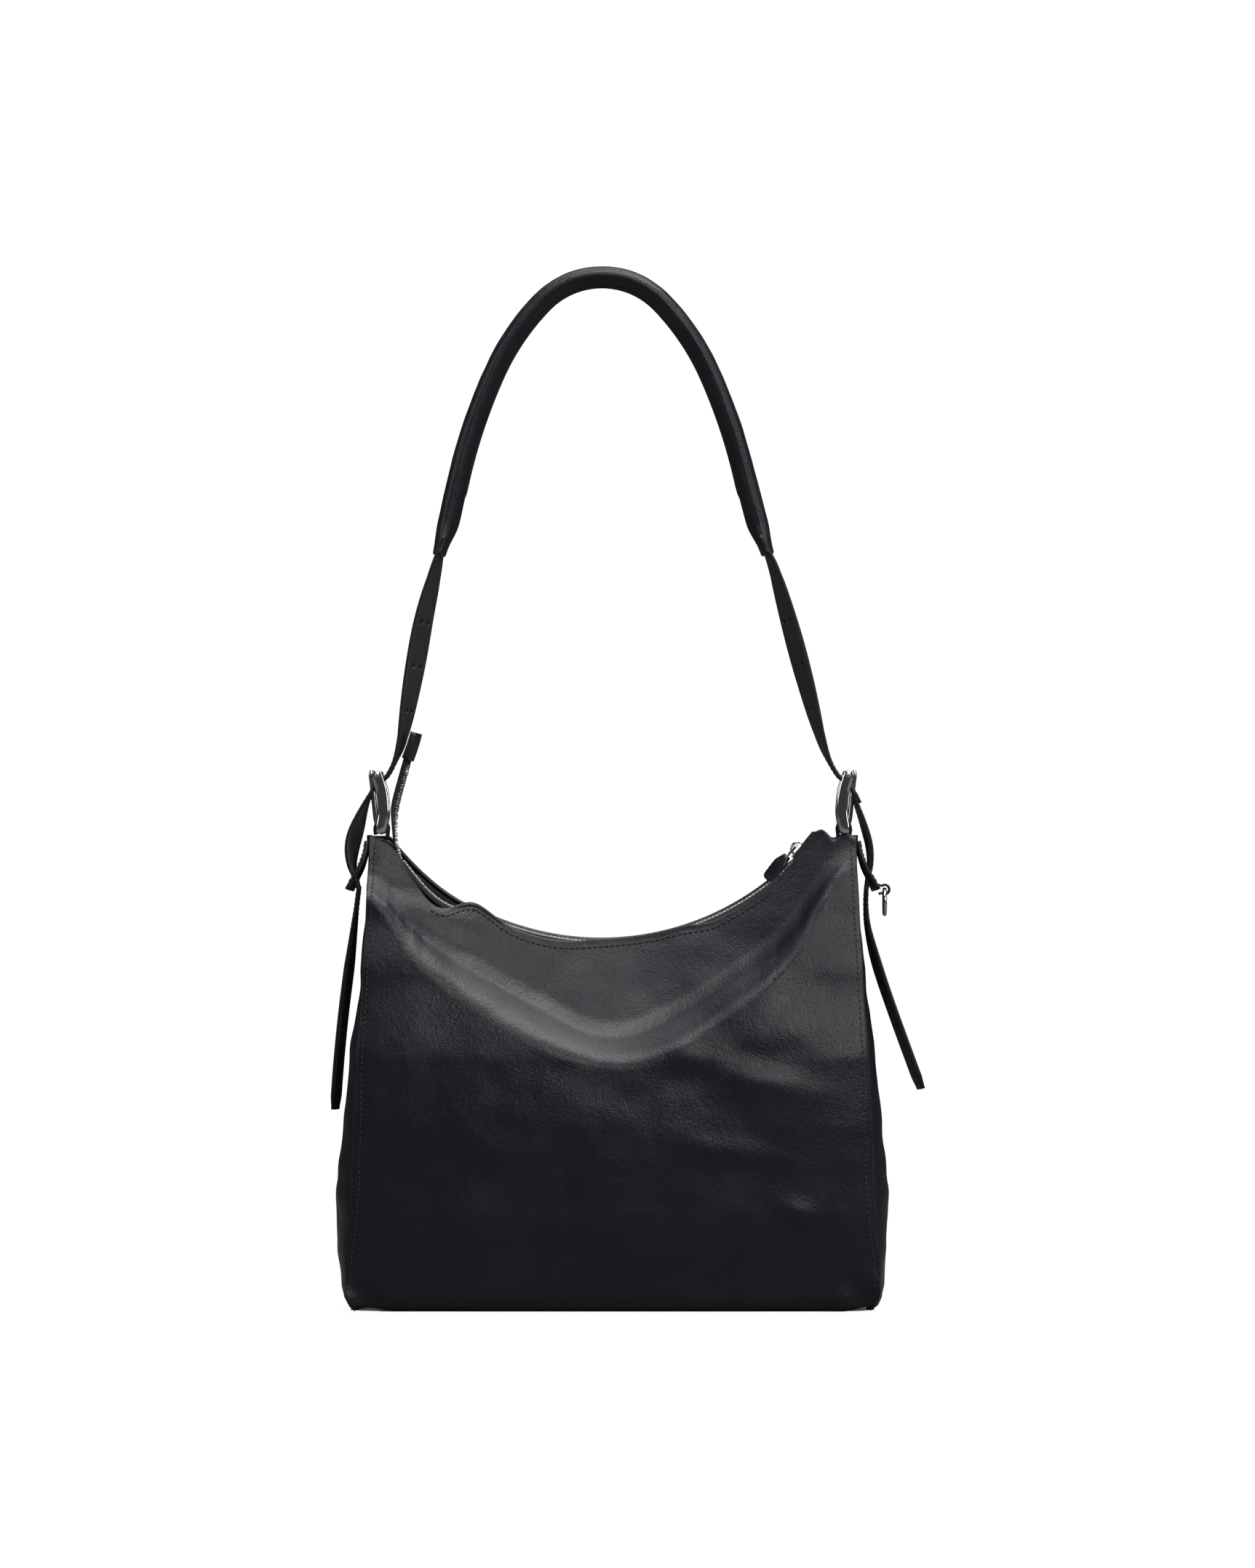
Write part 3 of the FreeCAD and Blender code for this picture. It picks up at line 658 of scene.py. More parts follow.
def body_stitches():
    """Topstitching beside the seams of both panels and below the zipper."""
    rows = []
    for front, face in ((True, FRONT), (False, -FRONT)):
        for side in (-1, 1):
            points = []
            for k in range(120):
                z = mix(14, CORNER_Z - 3, k / 119)
                points.append((side * (table(z, SEAM_X) - 3.2), z))
            rows.append(stitch_row("seam_stitches", surface_path(points, front), face))
        edge = []
        for k in range(160):
            share = mix(-0.74, 0.66, k / 159)
            top = top_of_column(share, front)
            x = column_x(share, top)
            edge.append((x, top + lip(x, front) - 4.6))
        rows.append(stitch_row("mouth_stitches", surface_path(edge, front), face))
    return merge("body_stitches", rows)


for node, is_front in (("front_panel", True), ("back_panel", False)):
    bend(panel(node, is_front), "body_leather", SEAM_LOW, SEAM_HIGH, node)
for sign, hand in SIDES:
    bend(gusset(sign, hand), "body_leather", SEAM_LOW, SEAM_HIGH, f"gusset_{hand}")
dress(base(), "bag", "body_leather", "base_panel")
bend(body_stitches(), "strap_leather", SEAM_LOW, SEAM_HIGH)


# ---- zipper ----

CHAIN_RADIUS = MOUTH_RADIUS + 1.6
CHAIN_LOW, CHAIN_HIGH = -46.5, 51.5
LAST_TOOTH = 46.0
TOOTH_PITCH = 2.54


def chain_point(turn, y=0.0, lift=0.0):
    """A point on the chain; turn is in degrees from the lowest point, towards +X."""
    angle = math.radians(turn)
    x = MOUTH.x + (CHAIN_RADIUS - lift) * math.sin(angle)
    z = MOUTH.z - (CHAIN_RADIUS - lift) * math.cos(angle)
    return Vector((x, y, z - 7.0 * bump(x, -105, 20)))


def zipper_tapes():
    """The two tapes: raised to the teeth in the middle, running under the leather at the edges."""
    parts = []
    for side in (-1, 1):
        rows = []
        for k in range(181):
            turn = mix(CHAIN_LOW, CHAIN_HIGH, k / 180)
            rows.append([chain_point(turn, side * y, lift)
                         for y, lift in ((1.5, 0.0), (3.2, 0.25), (6.0, 0.4), (9.0, -0.4), (11.5, -2.0))])
        parts.append(thicken(grid("tape", rows, TAPE), 0.6))
    return parts


def tooth_shape(side):
    """One cast tooth: a body clamped on the tape's cord and a rounded hook across the middle."""
    ring = ((3.1, 0.55), (2.2, 0.80), (0.4, 0.62), (-0.6, 0.50), (-1.05, 0.24))
    verts, faces = [], []
    for reach, half in ring:
        tall = 1.25 if reach > 1 else 0.85
        for a, b in ((-1, -1), (-1, 1), (1, 1), (1, -1)):
            verts.append((a * half * 0.86, side * reach, b * tall))
    for j in range(len(ring) - 1):
        for i in range(4):
            a, b = j * 4 + i, j * 4 + (i + 1) % 4
            faces.append((a, b, b + 4, a + 4))
    faces += [(0, 1, 2, 3), tuple(len(verts) - 4 + i for i in range(4))]
    return verts, faces


def zipper_teeth(side):
    shape, shape_faces = tooth_shape(side)
    verts, faces = [], []
    pitch = math.degrees(TOOTH_PITCH / CHAIN_RADIUS)
    turn = CHAIN_LOW + (0 if side < 0 else pitch / 2)
    while turn < LAST_TOOTH:
        middle = chain_point(turn)
        ahead = (chain_point(turn + 0.5) - chain_point(turn - 0.5)).normalized()
        up = Vector((-ahead.z, 0, ahead.x))
        first = len(verts)
        verts += [middle + ahead * x + Vector((0, y, 0)) + up * z for x, y, z in shape]
        faces += [tuple(first + i for i in face) for face in shape_faces]
        turn += pitch
    return soften(make("teeth", verts, faces, ZIP_METAL), 0.16, 2)


def block(name, size, material, round_mm=0.4):
    """A rounded block about the origin."""
    x, y, z = (value / 2 for value in size)
    verts = [(a * x, b * y, c * z) for a in (-1, 1) for b in (-1, 1) for c in (-1, 1)]
    faces = [(0, 1, 3, 2), (4, 5, 7, 6), (0, 1, 5, 4), (2, 3, 7, 6), (0, 2, 6, 4), (1, 3, 7, 5)]
    return soften(make(name, verts, faces, material), round_mm)


def moved(thing, place, ahead=Vector((1, 0, 0)), up=UP):
    """Carry a piece from the origin: its X axis goes to ahead, its Z axis to up."""
    across = up.cross(ahead).normalized()
    turn = Matrix((ahead.normalized(), across, up.normalized())).transposed().to_4x4()
    thing.data.transform(Matrix.Translation(Vector(place) * MM) @ turn)
    return thing


def tube(name, path, radius, material, closed=False, sides=14, flat=1.0):
    """A round or flattened wire along a path; radius may be a function of the share of the way along."""
    count = len(path)
    if closed:
        ahead = [(path[(i + 1) % count] - path[i - 1]).normalized() for i in range(count)]
    else:
        ahead = tangents(path)
    rows = []
    side = Vector((0, 1, 0)) if abs(ahead[0].y) < 0.9 else Vector((1, 0, 0))
    for i, point in enumerate(path):
        side = (side - ahead[i] * side.dot(ahead[i])).normalized()
        other = ahead[i].cross(side).normalized()
        size = at(radius, i / (count - 1))
        rows.append([point + side * (math.cos(a) * size) + other * (math.sin(a) * size * flat)
                     for a in (2 * math.pi * k / sides for k in range(sides))])
    if closed:
        rows.append(rows[0])
    thing = grid(name, rows, material, closed_u=True)
    if closed:
        with opened(thing.data) as bm:
            bmesh.ops.remove_doubles(bm, verts=bm.verts, dist=1e-6)
    cap_ends(thing, sides + 1)
    return thing


SLIDER_TURN = 47.8
SLIDER_AHEAD = Vector((math.cos(math.radians(SLIDER_TURN)), 0, math.sin(math.radians(SLIDER_TURN))))
SLIDER_UP = Vector((-SLIDER_AHEAD.z, 0, SLIDER_AHEAD.x))
PULL_PIN = in_mm(JOINTS["pull_swing"]["pos_m"])
PULL_ROLL = 35.0


def slider():
    """A cast slider: waisted top and bottom plates, a neck between the rows and a bridge for the puller."""
    middle = PULL_PIN - SLIDER_UP * 5.6
    outline = [(-6.2, 3.6), (-4.5, 4.3), (-1.0, 3.7), (2.4, 4.4), (4.8, 4.0), (6.2, 2.4)]
    outline += [(x, -y) for x, y in reversed(outline)]
    count = len(outline)
    faces = [tuple(range(count)), tuple(range(count, 2 * count))]
    faces += [(i, (i + 1) % count, count + (i + 1) % count, count + i) for i in range(count)]
    parts = []
    for level, thick in ((2.8, 1.5), (-2.8, 1.3)):
        verts = [(x, y, level + half) for half in (-thick / 2, thick / 2) for x, y in outline]
        parts.append(soften(make("plate", verts, faces, NICKEL), 0.45))
    parts.append(moved(block("neck", (3.0, 1.8, 4.6), NICKEL), (4.4, 0, 0)))
    arch = [(-4.0, 3.3), (-3.2, 6.0), (-1.2, 7.5), (1.2, 7.5), (3.2, 6.0), (4.0, 3.3)]
    parts.append(tube("bridge", spline(flat_route(arch), 0.5), 0.95, NICKEL, flat=0.8))
    return moved(merge("slider_casting", parts), middle, SLIDER_AHEAD, SLIDER_UP)


def puller_link():
    """A wire link that hangs from the bridge."""
    loop = [(0.9, 2.4), (0.9, -2.4), (-1.0, -3.3), (-6.5, -3.5), (-9.0, -2.6), (-9.4, 0), (-9.0, 2.6),
            (-6.5, 3.5), (-1.0, 3.3), (0.9, 2.4)]
    path = spline([(x, y, 0) for x, y in loop], 0.6)[:-1]
    link = tube("puller_link", path, 0.75, NICKEL, closed=True)
    return moved(link, PULL_PIN, SLIDER_AHEAD, SLIDER_UP)


def tab_rise(t):
    """The pull tab's own bend, along its length."""
    return 0.4 * math.sin(t * 5)


def pull_tab():
    """A folded leather tab, wider and thinner towards its rounded end, sewn round its edge."""
    near, long = -7.4, 19.0
    rows = []
    for k in range(31):
        t = k / 30
        half = mix(3.1, 6.0, smooth(t, 0, 0.35))
        if t > 0.86:
            half *= math.sqrt(clamp(1 - ((t - 0.86) / 0.15) ** 2))
        thick = 1.9 * (1 - 0.25 * smooth(t, 0.2, 0.9)) + 0.9 * bump(t, 0.08, 0.08)
        row = []
        for a in range(24):
            angle = 2 * math.pi * a / 24
            c, s = math.cos(angle), math.sin(angle)
            y = math.copysign(abs(c) ** 0.35, c) * half
            z = math.copysign(abs(s) ** 0.6, s) * thick / 2
            row.append(Vector((near - long * t, y, z + tab_rise(t))))
        rows.append(row)
    leather_tab = grid("pull_leather", rows, BODY, closed_u=True)
    top_x, turn_x, half, straight = -12.5, -22.5, 4.7, 0.35
    line = []
    for k in range(60):
        t = k / 59
        if t < straight:
            x, y = mix(top_x, turn_x, t / straight), -half
        elif t > 1 - straight:
            x, y = mix(turn_x, top_x, (t - 1 + straight) / straight), half
        else:
            turn = math.pi * ((t - straight) / (1 - 2 * straight) - 0.5)
            x, y = turn_x - 2.6 * math.cos(turn), half * math.sin(turn)
        line.append(Vector((x, y, 1.05 + tab_rise((near - x) / long))))
    threads = stitch_row("pull_stitches", line, UP, pitch=2.6, long=1.9, thick=0.28)
    tab = merge("pull_leather_tab", [leather_tab, threads])
    tab.data.transform(Matrix.Rotation(math.radians(PULL_ROLL), 4, "X"))
    return moved(tab, PULL_PIN, SLIDER_AHEAD, SLIDER_UP)


for thing, hand in zip(zipper_tapes(), ("front", "back")):
    thing.name = f"zipper_tape_{hand}_cloth"
    # the slider beside the tapes doesn't swing
    bend(thing, "zipper_tape", 0.277, SEAM_HIGH, f"zipper_tape_{hand}")
for side, hand in ((-1, "front"), (1, "back")):
    teeth = zipper_teeth(side)
    teeth.name = f"zipper_teeth_{hand}_cast"
    dress(teeth, "bag", "zipper_metal", f"zipper_teeth_{hand}")
dress(slider(), "slider", "nickel", "slider_body")
dress(puller_link(), "puller", "nickel", "puller")
dress(pull_tab(), "puller", "body_leather", "pull_tab")


# ---- straps ----

STRAP_WIDE = 25.0
STRAP_THICK = 2.3
HOLE_OFFSET = 5.2
HOLE_PITCH = 27.0
HOLE_RADIUS = 1.6
FIRST_HOLE = 53.0


TOP_PROFILE = ((1, 0), (0.985, 0.36), (0.94, 0.5), (0.5, 0.5), (0, 0.5), (-0.5, 0.5), (-0.94, 0.5),
               (-0.985, 0.36))
PROFILE = TOP_PROFILE + tuple((-across, -rise) for across, rise in TOP_PROFILE)
EDGE_POINTS = {0, 8}
BACK_POINTS = set(range(9, 16))


def strap(name, route, twist=0.0, wide=STRAP_WIDE, thick=STRAP_THICK, material=STRAP, back=FLESH,
          stitched=True, outward=1):
    """A flat strap: two leathers, painted edges and a stitch row along each edge. twist turns its width
    from front-to-back, in degrees; twist and wide may be functions of the share of the way along. Gives
    its pieces, its path and, for each point of the path, (across, face, half width)."""
    path = spline(route, 1.6)
    rows, frames = [], []
    for i, (point, ahead) in enumerate(zip(path, tangents(path))):
        share = i / (len(path) - 1)
        turn = Matrix.Rotation(math.radians(at(twist, share)), 3, ahead)
        side = turn @ (FRONT - ahead * FRONT.dot(ahead)).normalized()
        face = side.cross(ahead).normalized() * outward
        half = at(wide, share) / 2
        frames.append((side, face, half))
        rows.append([point + side * (across * half) + face * (rise * thick) for across, rise in PROFILE])
    body = grid(name, rows, material, closed_u=True)
    body.data.materials.append(back)
    body.data.materials.append(EDGE)
    for polygon in body.data.polygons:
        places = {index % len(PROFILE) for index in polygon.vertices}
        if places & EDGE_POINTS:
            polygon.material_index = 2
        elif places <= BACK_POINTS:
            polygon.material_index = 1
    cap_ends(body)
    parts = [body]
    for edge, level in ((-1, -1), (-1, 1), (1, -1), (1, 1)) if stitched else ():
        line = [point + side * (edge * (half - 2.4)) + face * (level * (thick / 2 - 0.03))
                for point, (side, face, half) in zip(path, frames)]
        normals = [face * level for _, face, _ in frames]
        parts.append(stitch_row("edge_stitches", line[2:-2], normals[2:-2], pitch=3.0, long=2.1, thick=0.2))
    return parts, path, frames


def punch(body, path, frames, places):
    """Cut pairs of round holes at distances along a strap."""
    total = lengths(path)
    cutters = []
    for place in places:
        index = nearest(total, place)
        side, face, _ = frames[index]
        for edge in (-1, 1):
            middle = path[index] + side * (edge * HOLE_OFFSET)
            run = [middle - face * 4, middle + face * 4]
            cutters.append(tube("cutter", run, HOLE_RADIUS, EDGE, sides=20))
    cut(body, merge("cutters", cutters))


LEFT_STRAP = ((-100.8, 461), (-103.6, 450), (-107.0, 436), (-113.0, 411), (-119.2, 376.7), (-125.4, 342),
              (-129.6, 328), (-134.6, 318), (-140.0, 313.6), (-144.8, 306.8), (-147.4, 301.6))
RIGHT_STRAP = ((87.8, 461), (93.0, 450), (97.4, 438), (105.1, 411), (114.4, 376.7), (123.2, 344),
               (128.6, 328.5), (134.6, 318), (140.0, 313.6), (144.8, 306.8), (147.4, 301.6))
LEFT_SLACK = ((-143.2, 309.2), (-146.8, 302.8), (-151.0, 292), (-155.2, 278), (-156.0, 266),
              (-153.6, 257), (-151.5, 249.8))
RIGHT_SLACK = ((143.0, 309.4), (145.4, 301.5), (149.4, 290), (153.0, 277), (153.8, 266),
               (152.4, 257), (151.4, 249.8))
LEFT_TAIL = ((-151.5, 251.6), (-153.0, 240), (-156.2, 213), (-160.6, 178), (-163.6, 148), (-165.8, 118.6))
RIGHT_TAIL = ((151.5, 251.6), (151.2, 240), (152.6, 226), (158.2, 204), (168.0, 175), (184.2, 130.8))


def strap_pieces(sign, hand, route, lean, slack, slack_lean, tail):
    """One side's three pieces: through the buckle, slack beside the corner, and the free tail."""

    def twist(share):
        return -lean * sign * math.sin(math.pi * clamp(share / 0.84))

    def slack_twist(share):
        return -slack_lean * sign * math.sin(math.pi * share) ** 2

    def tail_twist(share):
        return 9.0 * -sign * smooth(share, 0.05, 0.4)

    def pointed(share):
        return STRAP_WIDE * (1 - 0.35 * smooth(share, 0.93, 1.0))

    parts, path, frames = strap("strap", flat_route(route), twist, outward=sign, material=FACE, back=FACE)
    punch(parts[0], path, frames, [FIRST_HOLE + HOLE_PITCH * k for k in range(3)])
    dress(merge(f"strap_{hand}_leather", parts), "strap", "strap_leather", f"strap_end_{hand}")

    parts, _, _ = strap("slack", flat_route(slack), slack_twist, outward=sign, material=FLESH)
    bend(merge(f"strap_slack_{hand}_leather", parts), "strap_leather", 0.268, 0.300, f"strap_slack_{hand}")

    parts, path, frames = strap("tail", flat_route(tail), tail_twist, pointed, outward=sign, material=FLESH)
    punch(parts[0], path, frames, [30.0 + HOLE_PITCH * k for k in range(3)])
    dress(merge(f"strap_tail_{hand}_leather", parts), f"tail_{hand}", "strap_leather", f"strap_tail_{hand}")


strap_pieces(-1, "left", LEFT_STRAP, 24.0, LEFT_SLACK, 17.0, LEFT_TAIL)
strap_pieces(1, "right", RIGHT_STRAP, 21.0, RIGHT_SLACK, 5.0, RIGHT_TAIL)


# ---- shoulder sleeve ----

APEX = Vector((-6.5, 0, 617.2))
SLEEVE_ARCS = ((51.0, 46.0), (150.0, 66.0), (340.0, 77.5))


def sleeve_line(sign):
    """Half of the sleeve's middle line, from its top: three arcs and a straight run, 2 mm apart."""
    line = [APEX.copy()]
    slope = 0.0
    for radius, turn in SLEEVE_ARCS:
        steps = max(2, int(math.radians(turn - slope) * radius / 2))
        for k in range(steps):
            angle = math.radians(mix(slope, turn, (k + 0.5) / steps))
            move = math.radians(turn - slope) * radius / steps
            line.append(line[-1] + Vector((sign * math.cos(angle), 0, -math.sin(angle))) * move)
        slope = turn
    angle = math.radians(slope - (0 if sign < 0 else 2.5))
    for _ in range(23):
        line.append(line[-1] + Vector((sign * math.cos(angle), 0, -math.sin(angle))) * 2.0)
    return line


def outwards(point, ahead):
    """The direction across the sleeve that points away from the wearer's shoulder."""
    out = FRONT.cross(ahead).normalized()
    return out if out.dot(point - Vector((APEX.x, 0, 500))) >= 0 else -out


def sleeve(line, ahead):
    """A strip of leather rolled round a cord: round outside, drawn to a stitched fin on its inner side,
    flat where it closes over the strap at each end."""
    along = lengths(line)
    rows = []
    for i, point in enumerate(line):
        close = 1 - smooth(min(along[i], along[-1] - along[i]), 0, 22)
        out = outwards(point, ahead[i])
        row = []
        for k in range(28):
            angle = 2 * math.pi * k / 28
            s = math.sin(angle)
            width = math.cos(angle) * mix(8.6, 13.2, close)
            height = s * mix(5.3, 4.0, close)
            if s < 0:
                pull = abs(s) ** 3
                width *= mix(1.0, 0.25 + 0.55 * close, pull)
                height *= 1 + 0.42 * pull * (1 - close)
            ripple = 0.28 * wave(point.x, width * 2, point.z, 17, 21)
            ripple += 0.16 * wave(point.x, width, point.z, 6, 23)
            row.append(point + FRONT * width + out * (height + ripple * (1 if s > -0.3 else 0.4)))
        rows.append(row)
    skin = grid("sleeve", rows, STRAP, closed_u=True)
    cap_ends(skin)
    return skin


def puff(thing, cap_mm, frames=14):
    """Blow a closed skin up a little as cloth, and keep every point within a cap of where it was."""
    before = [vert.co.copy() for vert in thing.data.vertices]
    cloth = thing.modifiers.new("cloth", "CLOTH")
    settings = cloth.settings
    settings.quality = 4
    settings.mass = 0.25
    settings.tension_stiffness = settings.compression_stiffness = 18
    settings.bending_stiffness = 1.2
    settings.use_pressure = True
    settings.uniform_pressure_force = 3.0
    settings.effector_weights.gravity = 0
    cloth.collision_settings.use_collision = False
    scene = bpy.context.scene
    for number in range(1, frames + 1):
        scene.frame_set(number)
    depsgraph = bpy.context.evaluated_depsgraph_get()
    after = [vert.co.copy() for vert in thing.evaluated_get(depsgraph).data.vertices]
    thing.modifiers.clear()
    scene.frame_set(1)
    for vert, old, new in zip(thing.data.vertices, before, after):
        step = new - old
        if step.length > cap_mm * MM:
            step = step.normalized() * cap_mm * MM
        vert.co = old + step
    return thing


def sleeve_fin(line, ahead):
    """The two raw edges of the roll, pressed together and sewn on the inner side."""
    path, sides = [], []
    first, last = 12, len(line) - 13
    for i in range(first, last + 1):
        out = outwards(line[i], ahead[i])
        sunk = 3.6 * (1 - smooth(min(i - first, last - i), 0, 9))
        path.append(line[i] - out * (7.0 - sunk))
        sides.append(out)
    profile = ((-0.9, -1.6), (-1.1, 0.2), (-0.8, 0.9), (0, 1.05), (0.8, 0.9), (1.1, 0.2), (0.9, -1.6),
               (0, -1.9))
    rows = [[point + Vector((0, y, 0)) - out * h for y, h in profile] for point, out in zip(path, sides)]
    parts = [grid("fin", rows, EDGE, closed_u=True)]
    for face in (FRONT, -FRONT):
        shifted = [point + face * 1.1 + out * 0.2 for point, out in zip(path, sides)]
        parts.append(stitch_row("fin_stitches", shifted, face, pitch=3.2, long=2.3, thick=0.3))
    return merge("sleeve_seam", parts)


sleeve_middle = list(reversed(sleeve_line(-1)))[:-1] + sleeve_line(1)
sleeve_ahead = tangents(sleeve_middle)
skin = sleeve(sleeve_middle, sleeve_ahead)
puff(skin, 0.9)
finer = skin.modifiers.new("finer", "SUBSURF")
finer.levels = 1
apply_modifiers(skin)
skin.name = "shoulder_sleeve_leather"
dress(skin, "strap", "strap_leather", "shoulder_sleeve")
dress(sleeve_fin(sleeve_middle, sleeve_ahead), "strap", "strap_leather")


# ---- hardware ----

LOWER_BAR = Vector((138.0, 0, 286.6))
UPPER_BAR = Vector((140.5, 0, 318.5))
BOW = Vector((136.9, 0, 302.0))
PIN_ROUTE = ((139.4, 287.4), (141.2, 291.0), (142.3, 300.0), (143.3, 310.0), (144.3, 318.5), (144.0, 321.4))


def mirrored(sign, point):
    return Vector((sign * point[0], point[1], point[2]))


def buckle(sign):
    """A cast frame: two round bars across the strap between two flat rails that bow inwards."""
    lower, upper, bow = (mirrored(sign, point) for point in (LOWER_BAR, UPPER_BAR, BOW))
    half = 15.8
    ahead = (upper - lower).normalized()
    swell = (bow - lower.lerp(upper, 0.5)) * 0.3
    route = spline([lower - ahead * 3.4, lower, lower.lerp(bow, 0.55) + swell, bow,
                    bow.lerp(upper, 0.45) + swell, upper, upper + ahead * 3.2], 0.6)

    def rail_radius(share):
        return 1.65 * (1 - (2 * share - 1) ** 14) ** 0.5 + 0.02

    def knob_radius(share):
        return 2.0 * (1 - share ** 3 * 0.75)

    parts = []
    for y in (-1, 1):
        shifted = [point + Vector((0, y * half, 0)) for point in route]
        parts.append(tube("rail", shifted, rail_radius, NICKEL, sides=32, flat=2.0))
        knob = [Vector((upper.x, y * (half + out), upper.z)) for out in (-1, 1.6, 2.4)]
        parts.append(tube("knob", knob, knob_radius, NICKEL, sides=24))
    for end in (lower, upper):
        bar = [Vector((end.x, y, end.z)) for y in (-half, 0, half)]
        parts.append(tube("bar", bar, 2.2, NICKEL, sides=24))
    return merge("buckle_cast", parts)


def prongs(sign):
    """Two pins that share a rolled eye on the lower bar and rest on the upper one."""

    def pin_radius(share):
        return 1.45 * (1 - 0.35 * smooth(share, 0.9, 1.0))

    parts = []
    for y in (-HOLE_OFFSET, HOLE_OFFSET):
        path = spline([mirrored(sign, (x, y, z)) for x, z in PIN_ROUTE], 0.7)
        parts.append(tube("pin", path, pin_radius, NICKEL, sides=16))
    eye = [mirrored(sign, (LOWER_BAR.x, y, LOWER_BAR.z)) for y in (-6.4, 6.4)]
    parts.append(soften(tube("eye", eye, 3.7, NICKEL, sides=24), 0.5))
    return merge("prong_pair", parts)


def anchor_loop(sign, hand):
    """Leather that comes up out of the corner, round the lower bar on both sides of the eye, and back."""
    centre = mirrored(sign, LOWER_BAR)
    right = [(3.3, -5.6), (3.5, -3.0), (3.9, 0.0), (2.7, 2.9)]
    loop = [(-x, z) for x, z in right] + [(0, 4.0)] + right[::-1]
    path = spline(flat_route([(centre.x + sign * x, centre.z + z) for x, z in loop]), 0.7)
    parts = []
    for low_y, high_y in ((-12.6, -6.9), (6.9, 12.6)):
        route = [(p.x, (low_y + high_y) / 2, p.z) for p in path[::4]]
        strip, _, _ = strap("anchor", route, wide=high_y - low_y, thick=1.8, stitched=False, outward=sign)
        parts += strip

    def stem_width(share):
        return mix(17.0, 25.2, smooth(share, 0.2, 0.9))

    # below the eye the two arms are one width of leather
    for side in (-1, 1):
        stem = [(centre.x + side * x, centre.z - z) for x, z in ((2.2, 11.0), (3.0, 8.0), (3.4, 4.6))]
        strip, _, _ = strap("anchor", flat_route(stem), wide=stem_width, thick=1.6, stitched=False,
                            outward=sign * side)
        parts += strip
    bend(merge(f"anchor_loop_{hand}_leather", parts), "strap_leather", 0.268, 0.276, f"anchor_loop_{hand}")


SIDE_TAB_ROUTE = ((146.9, 279.0), (147.4, 272.5), (150.2, 263.5), (154.6, 255.0), (157.4, 249.6))


def side_tab(sign, hand):
    """A leather tab sewn to the gusset; the strap's free end passes through the slot in it."""

    def twist(share):
        return -5.0 * sign * share

    def tab_width(share):
        return mix(29.0, 34.0, smooth(share, 0, 0.5))

    route = flat_route([(sign * x, z) for x, z in SIDE_TAB_ROUTE])
    parts, path, frames = strap("tab", route, twist, wide=tab_width, outward=sign, stitched=False)
    low, high = path[len(path) // 2 - 1], path[-6]
    ahead = (high - low).normalized()
    slot = block("slot", (12, 26.8, (high - low).length), EDGE, round_mm=1.2)
    cut(parts[0], moved(slot, (low + high) / 2, ahead.cross(FRONT), -ahead))
    faces = [face for _, face, _ in frames]
    for edge in (-1, 1):
        line = [p + side * (edge * (half - 1.8)) + face * 1.17 for p, (side, face, half) in zip(path, frames)]
        parts.append(stitch_row("tab_stitches", line[1:-1], faces, pitch=2.8, long=2.0, thick=0.34))
    dress(merge(f"side_tab_{hand}_leather", parts), "bag", "body_leather", f"side_tab_{hand}")


RING_AXIS = in_mm(JOINTS["ring_swing"]["pos_m"])


def ring_pieces():
    """A small round ring in a leather loop on the right-hand tab."""
    radius = 7.4
    centre = RING_AXIS - UP * radius
    angles = [2 * math.pi * k / 64 for k in range(64)]
    path = [centre + Vector((0, math.sin(a), math.cos(a))) * radius for a in angles]
    dress(tube("side_ring_wire", path, 1.25, NICKEL, closed=True, sides=16), "ring", "nickel", "side_ring")
    loop = []
    for k in range(0, 33, 4):
        angle = math.radians(-128 + 256 * k / 32)
        loop.append((RING_AXIS.x + 2.8 * math.cos(angle), RING_AXIS.z + 2.8 * math.sin(angle)))
    route = flat_route([(158.8, 247.4)] + loop + [(158.4, 252.8)])
    parts, _, _ = strap("loop", route, wide=6.4, thick=1.5, stitched=False)
    dress(merge("ring_loop_leather", parts), "bag", "body_leather", "ring_loop")


for sign, hand in SIDES:
    dress(buckle(sign), "strap", "nickel", f"buckle_frame_{hand}").name = f"buckle_{hand}_cast"
    pins = prongs(sign)
    pins.name = f"prongs_{hand}_cast"
    dress(pins, f"prongs_{hand}", "nickel", f"double_prong_{hand}")
    anchor_loop(sign, hand)
    side_tab(sign, hand)
ring_pieces()


# ---- zipper ends ----

TAIL_ROUTE = ((-125.6, 262), (-127.8, 268), (-129.4, 274.2), (-130.6, 279), (-130.8, 291), (-129.8, 301),
              (-125.9, 316), (-121.8, 330.5))


def zipper_tail():
    """The free end of the zipper: both tapes and a last run of teeth, standing up beside the buckle."""

    def twist(share):
        return -11.0 * smooth(share, 0.25, 0.6)

    parts, path, frames = strap("tail_tape", flat_route(TAIL_ROUTE), twist, wide=19.4, thick=1.1,
                                material=TAPE, back=TAPE, stitched=False)
    shape, shape_faces = tooth_shape(1)
    verts, faces = [], []
    total = lengths(path)
    ahead = tangents(path)
    place, hand = 4.0, 1
    while place < total[-1] - 6:
        index = nearest(total, place)
        side, face, _ = frames[index]
        first = len(verts)
        verts += [path[index] + ahead[index] * x + side * (y * hand) + face * -(z + 0.9) for x, y, z in shape]
        faces += [tuple(first + i for i in corners) for corners in shape_faces]
        place += TOOTH_PITCH / 2
        hand = -hand
    teeth = soften(make("tail_teeth", verts, faces, ZIP_METAL), 0.16, 2)
    bend(merge("zipper_tail_cloth", parts + [teeth]), "zipper_tape", 0.262, 0.280, "zipper_tail")


